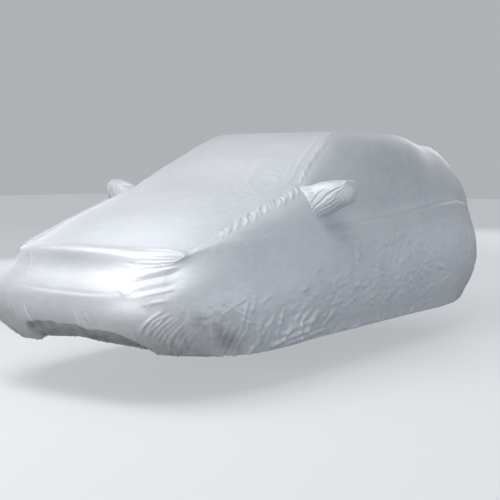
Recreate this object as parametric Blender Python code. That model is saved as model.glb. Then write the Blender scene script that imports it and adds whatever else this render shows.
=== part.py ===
"""A fitted car cover, seven sewn pieces of thin silver cloth in the shape they take over a car.

A top panel runs from the bonnet's front edge over the windscreen and roof to the foot of the
rear window. A front, a rear and two side panels hang from its edge down to the hem, and a
pocket for each door mirror is sewn into a hole in each side panel.

The shape is worked out over the car it fits: X across (the car's left is +X), Y along it (the
front is -Y, the middle of the wheelbase is 0) and Z up from the ground. place() then moves it to
the part's own frame, whose origin is where the middle of the car's roof carries the cover.
"""

import math
from collections import namedtuple

import bpy
import numpy as np
from mathutils import Vector
from mathutils.bvhtree import BVHTree

# Driving dimensions, in metres.
SHEET = 0.002  # cloth thickness
SEAM_GAP = 0.0004  # between two pieces along a seam
ROOF_REST = Vector((0.0, 0.78, 1.596))  # the inner face of the cloth at the middle of the roof

ACROSS = 16  # cells across the top, front and rear panels
FRONT_CELLS, SIDE_CELLS = 14, 26  # cells along a side, over its front stretch and the rest
FRONT_STRETCH = 0.22  # share of a side's length that has the closer cells
DOWN = 12  # cells from the seam down to the hem

# The seam between the top and a side panel. x is its half width, crown how far the top panel
# rises between its two seams and bow how far it runs forward (-) or back (+) of them.
Seam = namedtuple("Seam", "y x z crown bow")
SEAM = [
    Seam(-1.77, 0.630, 0.848, 0.034, -0.21),  # corner of the bonnet
    Seam(-1.50, 0.650, 0.948, 0.074, -0.18),
    Seam(-1.14, 0.655, 1.068, 0.082, -0.14),
    Seam(-0.72, 0.670, 1.200, 0.066, -0.12),  # foot of the windscreen pillar
    Seam(-0.36, 0.580, 1.390, 0.032, -0.11),
    Seam(0.12, 0.510, 1.590, 0.002, -0.07),  # front corner of the roof
    Seam(0.60, 0.530, 1.605, -0.010, 0.00),
    Seam(1.20, 0.540, 1.590, -0.004, 0.03),
    Seam(1.50, 0.530, 1.538, 0.004, 0.05),
    Seam(1.86, 0.530, 1.497, 0.010, 0.06),  # lip over the rear window
    Seam(2.07, 0.585, 1.300, 0.030, 0.08),
    Seam(2.18, 0.640, 1.060, 0.040, 0.09),  # foot of the rear window
]
CROWN_POWER = 2.6  # the crown is 1 - |a| to this power, so it falls away near the seams

# Plan outlines of the cloth at four levels. Each end is a superellipse: reach is how far it
# runs from the middle of the car, and nose and flank are its powers across and along.
End = namedtuple("End", "reach nose flank")
Level = namedtuple("Level", "half_width front rear")
LEVELS = {
    "belt": Level(0.865, End(2.08, 3.3, 5.0), End(2.35, 3.6, 9.0)),
    "bulge": Level(0.925, End(2.20, 3.6, 5.0), End(2.40, 3.4, 9.0)),
    "low": Level(0.920, End(2.15, 3.5, 5.0), End(2.33, 3.4, 8.0)),
    "hem": Level(0.900, End(2.01, 3.0, 5.0), End(2.14, 3.4, 7.0)),
}

# Height of each level: at shares of the way along a front, side or rear panel. The front and
# rear panels run from the car's middle line out to the corner, the side from front to rear.
Heights = namedtuple("Heights", "shares front side rear")
HEIGHTS = {
    "belt": Heights((0, 0.12, 0.30, 0.60, 0.85, 1), (0.745, 0.750),
                    (0.750, 0.830, 0.925, 0.990, 1.015, 0.930), (0.890, 0.930)),
    "bulge": Heights((0, 0.20, 0.50, 0.80, 1), (0.585, 0.585),
                     (0.585, 0.610, 0.640, 0.680, 0.680), (0.660, 0.680)),
    "low": Heights((0, 0.20, 0.50, 0.80, 1), (0.400, 0.400),
                   (0.400, 0.380, 0.385, 0.385, 0.430), (0.420, 0.430)),
    "hem": Heights((0, 0.10, 0.30, 0.60, 0.85, 1), (0.312, 0.262),
                   (0.262, 0.240, 0.246, 0.238, 0.228, 0.250), (0.270, 0.250)),
}
LEVEL_SHARES = (0.0, 0.09, 0.42, 0.66, 0.88, 1.0)  # of the way down: seam, turn, then LEVELS
TURN_SHARE = 0.10  # the turn lies this share of the way from the seam to the belt
TURN_OUT = {"front": 0.038, "side": 0.043, "rear": 0.030}  # and stands out this far

# Soft ridges (+) and troughs (-) of the hanging cloth, from one place on a panel to another.
# u is the share of the way along the panel and t the share of the way down it.
Fold = namedtuple("Fold", "panel u0 t0 u1 t1 width height")
FOLDS = [
    Fold("front", 0.60, 0.62, 0.96, 0.46, 0.050, -0.012),  # drag lines to the left corner
    Fold("front", 0.55, 0.30, 0.95, 0.22, 0.045, -0.008),
    Fold("front", 0.08, 0.56, 0.98, 0.58, 0.045, -0.010),  # over the bumper's upper edge
    Fold("front", 0.90, 0.90, 0.97, 0.72, 0.045, 0.012),  # gathers over the left corner
    Fold("front", 0.10, 0.90, 0.07, 0.70, 0.045, 0.010),
    Fold("side_left", 0.06, 0.95, 0.05, 0.66, 0.050, 0.014),
    Fold("side_left", 0.13, 0.97, 0.10, 0.70, 0.050, 0.012),
    Fold("side_left", 0.18, 0.97, 0.17, 0.76, 0.045, -0.012),
    Fold("side_left", 0.30, 0.36, 0.92, 0.44, 0.050, -0.010),  # under the door windows
    Fold("side_left", 0.50, 0.80, 0.80, 0.74, 0.070, -0.007),
    Fold("side_left", 0.95, 0.90, 0.95, 0.60, 0.050, 0.012),
    Fold("side_right", 0.08, 0.95, 0.06, 0.66, 0.050, 0.013),
    Fold("side_right", 0.16, 0.97, 0.14, 0.72, 0.050, -0.012),
    Fold("side_right", 0.32, 0.36, 0.90, 0.43, 0.050, -0.010),
    Fold("side_right", 0.45, 0.78, 0.72, 0.82, 0.070, -0.007),
    Fold("side_right", 0.94, 0.92, 0.95, 0.62, 0.050, 0.012),
    Fold("rear", 0.06, 0.92, 0.09, 0.60, 0.050, 0.012),
    Fold("rear", 0.93, 0.92, 0.90, 0.62, 0.050, 0.012),
    Fold("rear", 0.20, 0.44, 0.80, 0.42, 0.060, -0.010),
    Fold("top", 0.30, 0.46, 0.70, 0.47, 0.120, -0.008),  # the roof's slack between its rails
]

# A mirror pocket, section by section from its seam out to its tip: centre and half sizes.
Section = namedtuple("Section", "x y z half_depth half_height")
POCKET = [
    Section(0.000, -0.645, 1.108, 0.078, 0.100),  # in the side panel, whatever x that has here
    Section(0.850, -0.625, 1.128, 0.094, 0.106),
    Section(0.915, -0.600, 1.148, 0.098, 0.098),
    Section(0.978, -0.572, 1.165, 0.090, 0.080),
    Section(1.020, -0.545, 1.176, 0.064, 0.054),
]
POCKET_TIP = Vector((1.032, -0.538, 1.180))
POCKET_ROUND = 2.6  # power of the superellipse that a section is
NECK_LENGTH = 0.008  # the pocket runs straight through its hole for this far
HOLE_MARGIN = 0.020  # a pocket's hole stays this far inside the cells that it replaces
BEYOND_SIDES = 2.0  # this far from the car's middle line is clear of its sides

CLOTH_COLOUR = (0.60, 0.63, 0.66, 1.0)
CLOTH_ROUGHNESS = 0.45
CLOTH_METALLIC = 0.35

FOLD_END = 0.02  # a fold's height at its ends is that at this share of its length
DENSE = 300  # points on each quarter of an outline before it is measured along its length


def through(knots, values, where):
    """A smooth curve through values at knots: cubic pieces whose slopes average their chords."""
    knots, values = np.asarray(knots, float), np.asarray(values, float)
    gaps = np.diff(knots).reshape((-1,) + (1,) * (values.ndim - 1))
    chords = np.diff(values, axis=0) / gaps
    slopes = np.empty_like(values)
    slopes[0], slopes[-1] = chords[0], chords[-1]
    slopes[1:-1] = (chords[:-1] * gaps[1:] + chords[1:] * gaps[:-1]) / (gaps[1:] + gaps[:-1])
    piece = np.clip(np.searchsorted(knots, where) - 1, 0, len(knots) - 2)
    gap = gaps[piece]
    s = (np.asarray(where, float) - knots[piece]).reshape(gap.shape[:1] + (1,) * (gap.ndim - 1))
    s = s / gap
    start, end = values[piece], values[piece + 1]
    return (start + s * gap * slopes[piece]
            + s**2 * (3 * (end - start) - gap * (2 * slopes[piece] + slopes[piece + 1]))
            + s**3 * (2 * (start - end) + gap * (slopes[piece] + slopes[piece + 1])))


def chord_lengths(points):
    """Length along a polyline up to each of its points, as a share of the whole."""
    steps = np.linalg.norm(np.diff(points, axis=0), axis=1)
    along = np.concatenate([[0.0], np.cumsum(steps)])
    return along / along[-1]


def at_shares(points, shares):
    """The places on a polyline at these shares of its length."""
    along = chord_lengths(points)
    return np.stack([np.interp(shares, along, column) for column in points.T], axis=1)


def seam_line(shares):
    """Points of the left seam, and the top panel's crown and bow there, at shares of its length."""
    rows = np.array(SEAM)
    places = rows[:, [1, 0, 2]]
    knots = chord_lengths(places)
    fine = np.linspace(0, 1, DENSE)
    path = through(knots, places, fine)
    at = np.interp(shares, chord_lengths(path), fine)
    return through(knots, places, at), through(knots, rows[:, 3], at), through(knots, rows[:, 4], at)


def top_panel(across, along):
    """Grid of the top panel: across runs from -1 (right seam) to 1, along from 0 (front) to 1."""
    seam, crown, bow = seam_line(along)
    a = across[:, None]
    x = a * seam[:, 0]
    y = seam[:, 1] + bow * (1 - a**2)
    z = seam[:, 2] + crown * (1 - np.abs(a) ** CROWN_POWER)
    return np.stack([x, y, z], axis=2)


def outline(level):
    """Left half of a level's plan outline, from the front's middle to the rear's middle."""
    angle = np.linspace(0, math.pi / 2, DENSE)
    quarters = []
    for end, sign in ((level.front, -1), (level.rear, 1)):
        x = level.half_width * np.sin(angle) ** (2 / end.nose)
        y = sign * end.reach * np.cos(angle) ** (2 / end.flank)
        quarters.append(np.stack([x, y], axis=1))
    return np.concatenate([quarters[0], quarters[1][::-1][1:]])


def outline_part(level, part):
    """The stretch of an outline that a panel covers: the corners are where it runs at 45 degrees."""
    line = outline(level)
    steps = np.diff(line, axis=0)
    heading = np.arctan2(steps[:, 1], steps[:, 0])
    front = int(np.argmax(heading > math.pi / 4))
    rear = int(np.argmax(heading > 3 * math.pi / 4))
    parts = {"front": line[: front + 1], "side": line[front : rear + 1], "rear": line[rear:][::-1]}
    return parts[part]


def level_points(name, part, shares):
    """Points of one level along a panel."""
    plan = at_shares(outline_part(LEVELS[name], part), shares)
    heights = getattr(HEIGHTS[name], part)
    knots = HEIGHTS[name].shares if part == "side" else (0, 1)
    return np.column_stack([plan, through(knots, heights, shares)])


def outward(name, part, shares):
    """Level unit vectors that point out of the car along a panel."""
    line = outline_part(LEVELS[name], part)
    along = np.gradient(line, axis=0)
    if part == "rear":
        along = -along  # this stretch is listed from the car's middle outwards
    normal = np.stack([along[:, 1], -along[:, 0]], axis=1)
    normal = at_shares(np.column_stack([line, normal]), shares)[:, 2:]
    normal /= np.linalg.norm(normal, axis=1)[:, None]
    return np.column_stack([normal, np.zeros(len(normal))])


def hanging_panel(part, shares, down):
    """Grid of the left half of a front or rear panel, or of the left side: seam to hem."""
    if part == "side":
        seam = top_panel(np.array([1.0]), shares)[0]
    else:
        seam = top_panel(shares, np.array([0.0 if part == "front" else 1.0]))[:, 0]
    levels = [level_points(name, part, shares) for name in LEVELS]
    turn = seam + TURN_SHARE * (levels[0] - seam) + TURN_OUT[part] * outward("bulge", part, shares)
    columns = np.stack([seam, turn] + levels)
    return np.swapaxes(through(LEVEL_SHARES, columns, down), 0, 1)


def whole_skirt(shares, sides, down):
    """Every hanging panel's grid in one loop: front middle, left side, rear middle, right side."""
    front = hanging_panel("front", shares, down)
    side = hanging_panel("side", sides, down)
    rear = hanging_panel("rear", shares, down)[::-1]
    left = np.concatenate([front, side[1:], rear[1:]])
    return np.concatenate([left, left[::-1][1:-1] * (-1, 1, 1)])


def skirt_normals(skirt):
    """Unit normals of the loop, outwards."""
    around = np.roll(skirt, -1, axis=0) - np.roll(skirt, 1, axis=0)
    normals = np.cross(np.gradient(skirt, axis=1), around)
    return normals / np.linalg.norm(normals, axis=2)[:, :, None]


def top_normals(top):
    normals = np.cross(np.gradient(top, axis=0), np.gradient(top, axis=1))
    return normals / np.linalg.norm(normals, axis=2)[:, :, None]


def fold_push(grid, line, fold):
    """How far one fold moves each point: full height on its line, softly less away from it."""
    start, span = line[0], line[1] - line[0]
    along = ((grid - start) @ span) / (span @ span)
    nearest = start + np.clip(along, 0, 1)[:, :, None] * span
    away = np.linalg.norm(grid - nearest, axis=2)
    fade = np.sin(math.pi * np.clip(along, FOLD_END, 1 - FOLD_END)) ** 0.5
    return fold.height * fade * np.exp(-((away / fold.width) ** 2))


def fold_moves(grid, normals, columns, down, panels):
    """How the folds of these panels move each point of a grid: columns has each panel's u."""
    push = np.zeros(grid.shape[:2])
    for fold in FOLDS:
        if fold.panel not in panels:
            continue
        numbers, shares = columns[fold.panel]
        ends = []
        for u, t in ((fold.u0, fold.t0), (fold.u1, fold.t1)):
            column = numbers[int(np.argmin(np.abs(shares - u)))]
            ends.append(grid[column, int(np.argmin(np.abs(down - t)))])
        push += fold_push(grid, ends, fold)
    return push[:, :, None] * normals


def add_cloth_colour(thing):
    material = bpy.data.materials.new(f"{thing.name}_cloth")
    material.use_nodes = True
    shader = material.node_tree.nodes["Principled BSDF"]
    shader.inputs["Base Color"].default_value = CLOTH_COLOUR
    shader.inputs["Roughness"].default_value = CLOTH_ROUGHNESS
    shader.inputs["Metallic"].default_value = CLOTH_METALLIC
    thing.data.materials.append(material)


def add_mesh(name, points, faces, origin=ROOF_REST):
    """An object from points in car coordinates, with its own origin at one of them."""
    mesh = bpy.data.meshes.new(name)
    mesh.from_pydata([tuple(p) for p in np.asarray(points, float) - np.array(origin)], [], faces)
    mesh.validate()
    mesh.shade_smooth()
    thing = bpy.data.objects.new(name, mesh)
    thing.location = Vector(origin) - ROOF_REST
    bpy.context.scene.collection.objects.link(thing)
    return thing


def grid_faces(columns, rows):
    """Four-cornered faces of a grid of points stored column by column."""
    faces = []
    for i in range(columns - 1):
        for j in range(rows - 1):
            here, there = i * rows + j, (i + 1) * rows + j
            faces.append((here, there, there + 1, here + 1))
    return faces


def rim_of(columns, rows):
    """Numbers of the points round a grid's edge, in order."""
    near = list(range(rows))
    right = [i * rows + rows - 1 for i in range(1, columns)]
    far = [(columns - 1) * rows + j for j in range(rows - 2, -1, -1)]
    left = [i * rows for i in range(columns - 2, 0, -1)]
    return near + right + far + left


def clear_of_seams(grid, sewn):
    """Pulls the sewn edges of a grid in by half the gap that two pieces keep along a seam."""
    grid = grid.copy()
    for edge, inner in sewn:
        step = grid[inner] - grid[edge]
        grid[edge] += SEAM_GAP / 2 * step / np.linalg.norm(step, axis=-1)[:, None]
    return grid


SIDE_SIGN = {"side_left": 1, "side_right": -1}  # of x
FIRST_COLUMN, LAST_COLUMN = (np.s_[0, :], np.s_[1, :]), (np.s_[-1, :], np.s_[-2, :])
FIRST_ROW, LAST_ROW = (np.s_[:, 0], np.s_[:, 1]), (np.s_[:, -1], np.s_[:, -2])


def pocket_ring(section, angles, grow=0.0):
    """One ring of a mirror pocket, a superellipse in a plane across the car: its y and z."""
    c, s = np.cos(angles), np.sin(angles)
    y = section.y + (section.half_depth + grow) * np.sign(c) * np.abs(c) ** (2 / POCKET_ROUND)
    z = section.z + (section.half_height + grow) * np.sign(s) * np.abs(s) ** (2 / POCKET_ROUND)
    return np.column_stack([y, z])


def on_side(side, yz, sign):
    """Points on a side panel's grid at these y and z, found by looking at it from outside."""
    columns, rows = side.shape[:2]
    tree = BVHTree.FromPolygons([tuple(p) for p in side.reshape(-1, 3)], grid_faces(columns, rows))
    look = Vector((-sign, 0.0, 0.0))
    return np.array([tree.ray_cast(Vector((sign * BEYOND_SIDES, y, z)), look)[0] for y, z in yz])


def hole_cells(side):
    """First and last column, and last row, of the cells that a pocket's hole replaces."""
    seat = POCKET[0]
    y, z = side[:, :, 1], side[:, :, 2]
    before = y.max(axis=1) < seat.y - seat.half_depth - HOLE_MARGIN
    after = y.min(axis=1) > seat.y + seat.half_depth + HOLE_MARGIN
    first, last = int(np.flatnonzero(before)[-1]), int(np.flatnonzero(after)[0])
    below = z[first : last + 1].max(axis=0) < seat.z - seat.half_height - HOLE_MARGIN
    return first, last, int(np.flatnonzero(below)[0])


def hole_border(side):
    """Numbers of the grid points round those cells, and the hole's angle that faces each."""
    first, last, bottom = hole_cells(side)
    columns, rows = side.shape[:2]
    local = rim_of(last - first + 1, bottom + 1)
    border = [(first + k // (bottom + 1)) * rows + k % (bottom + 1) for k in local]
    seat = POCKET[0]
    points = side.reshape(-1, 3)[border]
    y, z = (points[:, 1] - seat.y) / seat.half_depth, (points[:, 2] - seat.z) / seat.half_height
    return border, np.arctan2(z, y)


def sheet_faces(columns, rows, side):
    """Faces of one layer of a panel, and its edges: the rim and, on a side, the pocket's hole."""
    rim = rim_of(columns, rows)
    faces, edges = grid_faces(columns, rows), [list(zip(rim, rim[1:] + rim[:1]))]
    if side is None:
        return faces, edges
    first, last, bottom = hole_cells(side)
    border, angles = hole_border(side)
    gone = {(i * (rows - 1) + j) for i in range(first, last) for j in range(bottom)}
    faces = [face for k, face in enumerate(faces) if k not in gone]
    ring = [columns * rows + k for k in range(len(angles))]
    for k, here in enumerate(border):
        after = (k + 1) % len(border)
        faces.append((ring[k], ring[after], border[after], here))
    edges.append(list(zip(ring[1:] + ring[:1], ring)))
    return faces, edges


def add_panel(name, inner, normals, sewn, sign):
    """One panel as a closed sheet: an inner face, an outer one and walls along its edges.

    sign is 0 for a plain panel, and 1 or -1 for the left or right side, which has a hole.
    """
    layers = [clear_of_seams(inner, sewn), clear_of_seams(inner + SHEET * normals, sewn)]
    columns, rows = inner.shape[:2]
    faces, edges = sheet_faces(columns, rows, inner if sign else None)
    points = [layer.reshape(-1, 3) for layer in layers]
    if sign:
        hole = pocket_ring(POCKET[0], hole_border(inner)[1], SHEET + SEAM_GAP)
        points = [np.concatenate([flat, on_side(layer, hole, sign)])
                  for flat, layer in zip(points, layers)]
    count = len(points[0])
    walls = []
    for p, q in sum(edges, []):
        # Both sides of a seam split their wall the same way, so the two keep their distance.
        if p < q:
            walls += [(p + count, q + count, p), (q + count, q, p)]
        else:
            walls += [(p + count, q + count, q), (p + count, q, p)]
    outer = [tuple(k + count for k in face) for face in reversed(faces)]
    solid = outer + [face[::-1] for face in faces] + walls
    across, along = inner[1, 0] - inner[0, 0], inner[0, 1] - inner[0, 0]
    if np.dot(np.cross(across, along), normals[0, 0]) < 0:
        solid = [face[::-1] for face in solid]
    used, renumbered = np.unique(np.concatenate(solid), return_inverse=True)
    ends = np.cumsum([len(face) for face in solid])[:-1]
    solid = [tuple(int(k) for k in face) for face in np.split(renumbered, ends)]
    panel = add_mesh(name, np.concatenate(points)[used], solid)
    add_cloth_colour(panel)


def add_pocket(name, side, sign):
    """A mirror pocket as a sheet, from where it is sewn to the side panel out to its tip."""
    angles = hole_border(side)[1]
    sides = len(angles)
    rings = [on_side(side, pocket_ring(POCKET[0], angles), sign)]
    rings.append(rings[0] + (sign * NECK_LENGTH, 0, 0))
    for section in POCKET[1:]:
        rings.append(np.column_stack([np.full(sides, sign * section.x), pocket_ring(section, angles)]))
    faces = []
    for i in range(len(rings) - 1):
        for k in range(sides):
            after = (k + 1) % sides
            here, there = i * sides, (i + 1) * sides
            faces.append((here + k, here + after, there + after, there + k))
    last, tip = (len(rings) - 1) * sides, len(rings) * sides
    faces += [(last + k, last + (k + 1) % sides, tip) for k in range(sides)]
    if sign < 0:
        faces = [face[::-1] for face in faces]
    points = np.concatenate(rings + [np.array([POCKET_TIP]) * (sign, 1, 1)])
    pocket = add_mesh(name, points, faces, rings[0].mean(axis=0))
    add_cloth_colour(pocket)
    solidify = pocket.modifiers.new("thickness", "SOLIDIFY")
    solidify.thickness = SHEET
    solidify.offset = 1.0


def build():
    for thing in list(bpy.data.objects):
        bpy.data.objects.remove(thing)

    half = ACROSS // 2
    down = np.linspace(0, 1, DOWN + 1)
    outwards = np.linspace(0, 1, half + 1)
    across = np.linspace(-1, 1, ACROSS + 1)
    sides = np.concatenate([np.linspace(0, FRONT_STRETCH, FRONT_CELLS + 1),
                            np.linspace(FRONT_STRETCH, 1, SIDE_CELLS + 1)[1:]])
    length = len(sides) - 1
    skirt = whole_skirt(outwards, sides, down)
    loop = len(skirt)
    corner, rear = half, half + length  # columns of the left corners
    columns = {
        "front": (np.arange(-half, half + 1), across),
        "side_left": (np.arange(corner, rear + 1), sides),
        "rear": (np.arange(rear + ACROSS, rear - 1, -1), across),
        "side_right": (np.arange(-corner, -rear - 1, -1), sides),
    }
    skirt += fold_moves(skirt, skirt_normals(skirt), columns, down, columns) * (down > 0)[:, None]
    top = top_panel(across, sides)
    top_columns = {"top": (np.arange(ACROSS + 1), across)}
    rise = fold_moves(top, top_normals(top), top_columns, sides, top_columns)
    top[1:-1, 1:-1] += rise[1:-1, 1:-1]

    normals = {"skirt": skirt_normals(skirt), "top": top_normals(top)}
    edge = {
        "front": (np.arange(ACROSS + 1), 0),
        "side_left": (-1, np.arange(length + 1)),
        "rear": (np.arange(ACROSS + 1), -1),
        "side_right": (0, np.arange(length + 1)),
    }
    shared = np.zeros((loop, 3))
    for name, (numbers, _) in columns.items():
        shared[numbers % loop] = normals["top"][edge[name]]
    shared += normals["skirt"][:, 0]
    shared /= np.linalg.norm(shared, axis=1)[:, None]
    normals["skirt"][:, 0] = shared
    for name, (numbers, _) in columns.items():
        normals["top"][edge[name]] = shared[numbers % loop]

    add_panel("top", top, normals["top"], [FIRST_COLUMN, LAST_COLUMN, FIRST_ROW, LAST_ROW], 0)
    for name, (numbers, _) in columns.items():
        panel, sign = skirt[numbers % loop], SIDE_SIGN.get(name, 0)
        outer = normals["skirt"][numbers % loop]
        add_panel(name, panel, outer, [FIRST_COLUMN, LAST_COLUMN, FIRST_ROW], sign)
        if sign:
            add_pocket(name.replace("side", "pocket"), panel, sign)


build()
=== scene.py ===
import math

import bmesh
import bpy
import numpy as np
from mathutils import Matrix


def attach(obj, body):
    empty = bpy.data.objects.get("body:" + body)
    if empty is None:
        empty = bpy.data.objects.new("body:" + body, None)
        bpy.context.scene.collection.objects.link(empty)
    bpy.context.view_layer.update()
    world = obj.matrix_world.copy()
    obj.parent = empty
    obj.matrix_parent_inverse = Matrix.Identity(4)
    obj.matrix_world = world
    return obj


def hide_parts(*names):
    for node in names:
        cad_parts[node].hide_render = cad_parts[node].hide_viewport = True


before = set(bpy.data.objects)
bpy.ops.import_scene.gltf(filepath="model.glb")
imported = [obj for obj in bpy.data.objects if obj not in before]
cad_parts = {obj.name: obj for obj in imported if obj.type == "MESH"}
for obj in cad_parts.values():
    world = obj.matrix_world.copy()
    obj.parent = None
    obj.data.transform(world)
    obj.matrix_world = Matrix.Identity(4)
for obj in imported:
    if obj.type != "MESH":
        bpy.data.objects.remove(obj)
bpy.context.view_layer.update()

# the shape of the cover, in the car's own coordinates: x across, y along, z up from the ground
cover = {
    "roofRest": (0.0, 0.78, 1.596),     # the middle of the roof, where the part's own frame starts
    "crownPower": 2.6,                  # how late the top rounds off towards its seams
    "turnShare": 0.10,                  # the rounded turn below the seam: how far down,
    "turnOut": {"front": 0.038, "side": 0.043, "rear": 0.030},   # and how far out
    "clothThickness": 0.0014,
    "middle": np.array([0, 0.15, 0.85]),   # a place inside, which every outer side faces away from
}

# the seam between top and side panel: y, half width, height, crown of the top, bow of the top
seamTable = np.array([
    [-1.77, 0.630, 0.848, 0.034, -0.21],
    [-1.50, 0.650, 0.948, 0.074, -0.18],
    [-1.14, 0.655, 1.068, 0.082, -0.14],
    [-0.72, 0.670, 1.200, 0.066, -0.12],
    [-0.36, 0.580, 1.390, 0.032, -0.11],
    [0.12, 0.510, 1.590, 0.002, -0.07],
    [0.60, 0.530, 1.605, -0.010, 0.00],
    [1.20, 0.540, 1.590, -0.004, 0.03],
    [1.50, 0.530, 1.538, 0.004, 0.05],
    [1.86, 0.530, 1.497, 0.010, 0.06],
    [2.07, 0.585, 1.300, 0.030, 0.08],
    [2.18, 0.640, 1.060, 0.040, 0.09],
])

# plan outlines: half width, then reach and the two powers of the front end and of the rear end
outlines = {
    "belt": (0.865, (2.08, 3.3, 5.0), (2.35, 3.6, 9.0)),
    "bulge": (0.925, (2.20, 3.6, 5.0), (2.40, 3.4, 9.0)),
    "low": (0.920, (2.15, 3.5, 5.0), (2.33, 3.4, 8.0)),
    "hem": (0.900, (2.01, 3.0, 5.0), (2.14, 3.4, 7.0)),
}

# heights of the same levels: the side's own shares, then front, side and rear values
levelHeights = {
    "belt": ((0, 0.12, 0.30, 0.60, 0.85, 1), (0.745, 0.750),
             (0.750, 0.830, 0.925, 0.990, 1.015, 0.930), (0.890, 0.930)),
    "bulge": ((0, 0.20, 0.50, 0.80, 1), (0.585, 0.585),
              (0.585, 0.610, 0.640, 0.680, 0.680), (0.660, 0.680)),
    "low": ((0, 0.20, 0.50, 0.80, 1), (0.400, 0.400), (0.400, 0.380, 0.385, 0.385, 0.430), (0.420, 0.430)),
    "hem": ((0, 0.10, 0.30, 0.60, 0.85, 1), (0.312, 0.262),
            (0.262, 0.240, 0.246, 0.238, 0.228, 0.250), (0.270, 0.250)),
}
# how far down a hanging panel the seam, the turn and the four levels lie
levelShares = (0.0, 0.09, 0.42, 0.66, 0.88, 1.0)
curvePlaces = 300   # how many places stand for a curve while its length is measured


def curveThrough(knots, values, where):
    # cubic pieces through the values, each knot's slope the weighted mean of the chords beside it
    knots, values = np.asarray(knots, float), np.asarray(values, float)
    gaps = np.diff(knots).reshape((-1,) + (1,) * (values.ndim - 1))
    chords = np.diff(values, axis=0) / gaps
    slopes = np.empty_like(values)
    slopes[0], slopes[-1] = chords[0], chords[-1]
    slopes[1:-1] = (chords[:-1] * gaps[1:] + chords[1:] * gaps[:-1]) / (gaps[1:] + gaps[:-1])
    piece = np.clip(np.searchsorted(knots, where) - 1, 0, len(knots) - 2)
    gap = gaps[piece]
    s = (np.asarray(where, float) - knots[piece]).reshape(gap.shape[:1] + (1,) * (gap.ndim - 1)) / gap
    start, end = values[piece], values[piece + 1]
    return (start + s * gap * slopes[piece]
            + s**2 * (3 * (end - start) - gap * (2 * slopes[piece] + slopes[piece + 1]))
            + s**3 * (2 * (start - end) + gap * (slopes[piece] + slopes[piece + 1])))


def lengthShares(points):
    steps = np.linalg.norm(np.diff(points, axis=0), axis=1)
    along = np.concatenate([[0.0], np.cumsum(steps)])
    return along / along[-1]


def pointsAt(points, shares):
    along = lengthShares(points)
    return np.stack([np.interp(shares, along, column) for column in points.T], axis=1)


def seamCurve(shares):
    places = seamTable[:, [1, 0, 2]]
    knots = lengthShares(places)
    fine = np.linspace(0, 1, curvePlaces)
    at = np.interp(shares, lengthShares(curveThrough(knots, places, fine)), fine)
    return (curveThrough(knots, places, at), curveThrough(knots, seamTable[:, 3], at),
            curveThrough(knots, seamTable[:, 4], at))


def topSurface(across, along):
    # from seam to seam: bowed by 1 - a^2 and crowned by 1 - |a|^power
    seam, crown, bow = seamCurve(along)
    a = across[:, None]
    return np.stack([a * seam[:, 0], seam[:, 1] + bow * (1 - a**2),
                     seam[:, 2] + crown * (1 - np.abs(a) ** cover["crownPower"])], axis=2)


def planOutline(name):
    # superellipse ends, from the front's middle round the left side to the rear's middle
    halfWidth, front, rear = outlines[name]
    angle = np.linspace(0, math.pi / 2, curvePlaces)
    quarters = []
    for (reach, nose, flank), sign in ((front, -1), (rear, 1)):
        quarters.append(np.stack([halfWidth * np.sin(angle) ** (2 / nose),
                                  sign * reach * np.cos(angle) ** (2 / flank)], axis=1))
    return np.concatenate([quarters[0], quarters[1][::-1][1:]])


def outlinePart(name, part):
    # the corners between panels are where the outline runs at 45 degrees
    line = planOutline(name)
    steps = np.diff(line, axis=0)
    heading = np.arctan2(steps[:, 1], steps[:, 0])
    front = int(np.argmax(heading > math.pi / 4))
    rear = int(np.argmax(heading > 3 * math.pi / 4))
    return {"front": line[: front + 1], "side": line[front: rear + 1], "rear": line[rear:][::-1]}[part]


def levelCurve(name, part, shares):
    sideShares, front, side, rear = levelHeights[name]
    knots, heights = {"front": ((0, 1), front), "side": (sideShares, side), "rear": ((0, 1), rear)}[part]
    return np.column_stack([pointsAt(outlinePart(name, part), shares), curveThrough(knots, heights, shares)])


def outwardOf(name, part, shares):
    line = outlinePart(name, part)
    along = np.gradient(line, axis=0) * (-1 if part == "rear" else 1)
    normal = np.stack([along[:, 1], -along[:, 0]], axis=1)
    normal = pointsAt(np.column_stack([line, normal]), shares)[:, 2:]
    return np.column_stack([normal / np.linalg.norm(normal, axis=1)[:, None], np.zeros(len(normal))])


def hangingSurface(part, shares, down):
    # from the seam over the rounded turn, belt, bulge and low line to the hem
    if part == "side":
        seam = topSurface(np.array([1.0]), shares)[0]
    else:
        seam = topSurface(shares, np.array([0.0 if part == "front" else 1.0]))[:, 0]
    levels = [levelCurve(name, part, shares) for name in outlines]
    outward = outwardOf("bulge", part, shares)
    turn = seam + cover["turnShare"] * (levels[0] - seam) + cover["turnOut"][part] * outward
    return np.swapaxes(curveThrough(levelShares, np.stack([seam, turn] + levels), down), 0, 1)


def bothHalves(half):
    return np.concatenate([half[::-1] * (-1, 1, 1), half[1:]])


def denser(start, end, cells, share, closeCells):
    # a run of parameters with closeCells of its cells in its first share
    middle = start + (end - start) * share
    return np.concatenate([np.linspace(start, middle, closeCells + 1),
                           np.linspace(middle, end, cells - closeCells + 1)[1:]])


# cells of the grids; along the car the front's share has closer cells; front and rear are given by halves
grids = {"topAcross": 124, "length": 380, "closeShare": 0.36, "closeLength": 190,
         "down": 122, "frontAcross": 150, "rearAcross": 90}

sideShares = denser(0, 1, grids["length"], grids["closeShare"], grids["closeLength"])
downShares = np.linspace(0, 1, grids["down"] + 1)
topShares = np.linspace(-1, 1, grids["topAcross"] + 1)
frontShares = np.linspace(0, 1, grids["frontAcross"] + 1)
rearShares = np.linspace(0, 1, grids["rearAcross"] + 1)

leftSide = hangingSurface("side", sideShares, downShares)
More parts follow.
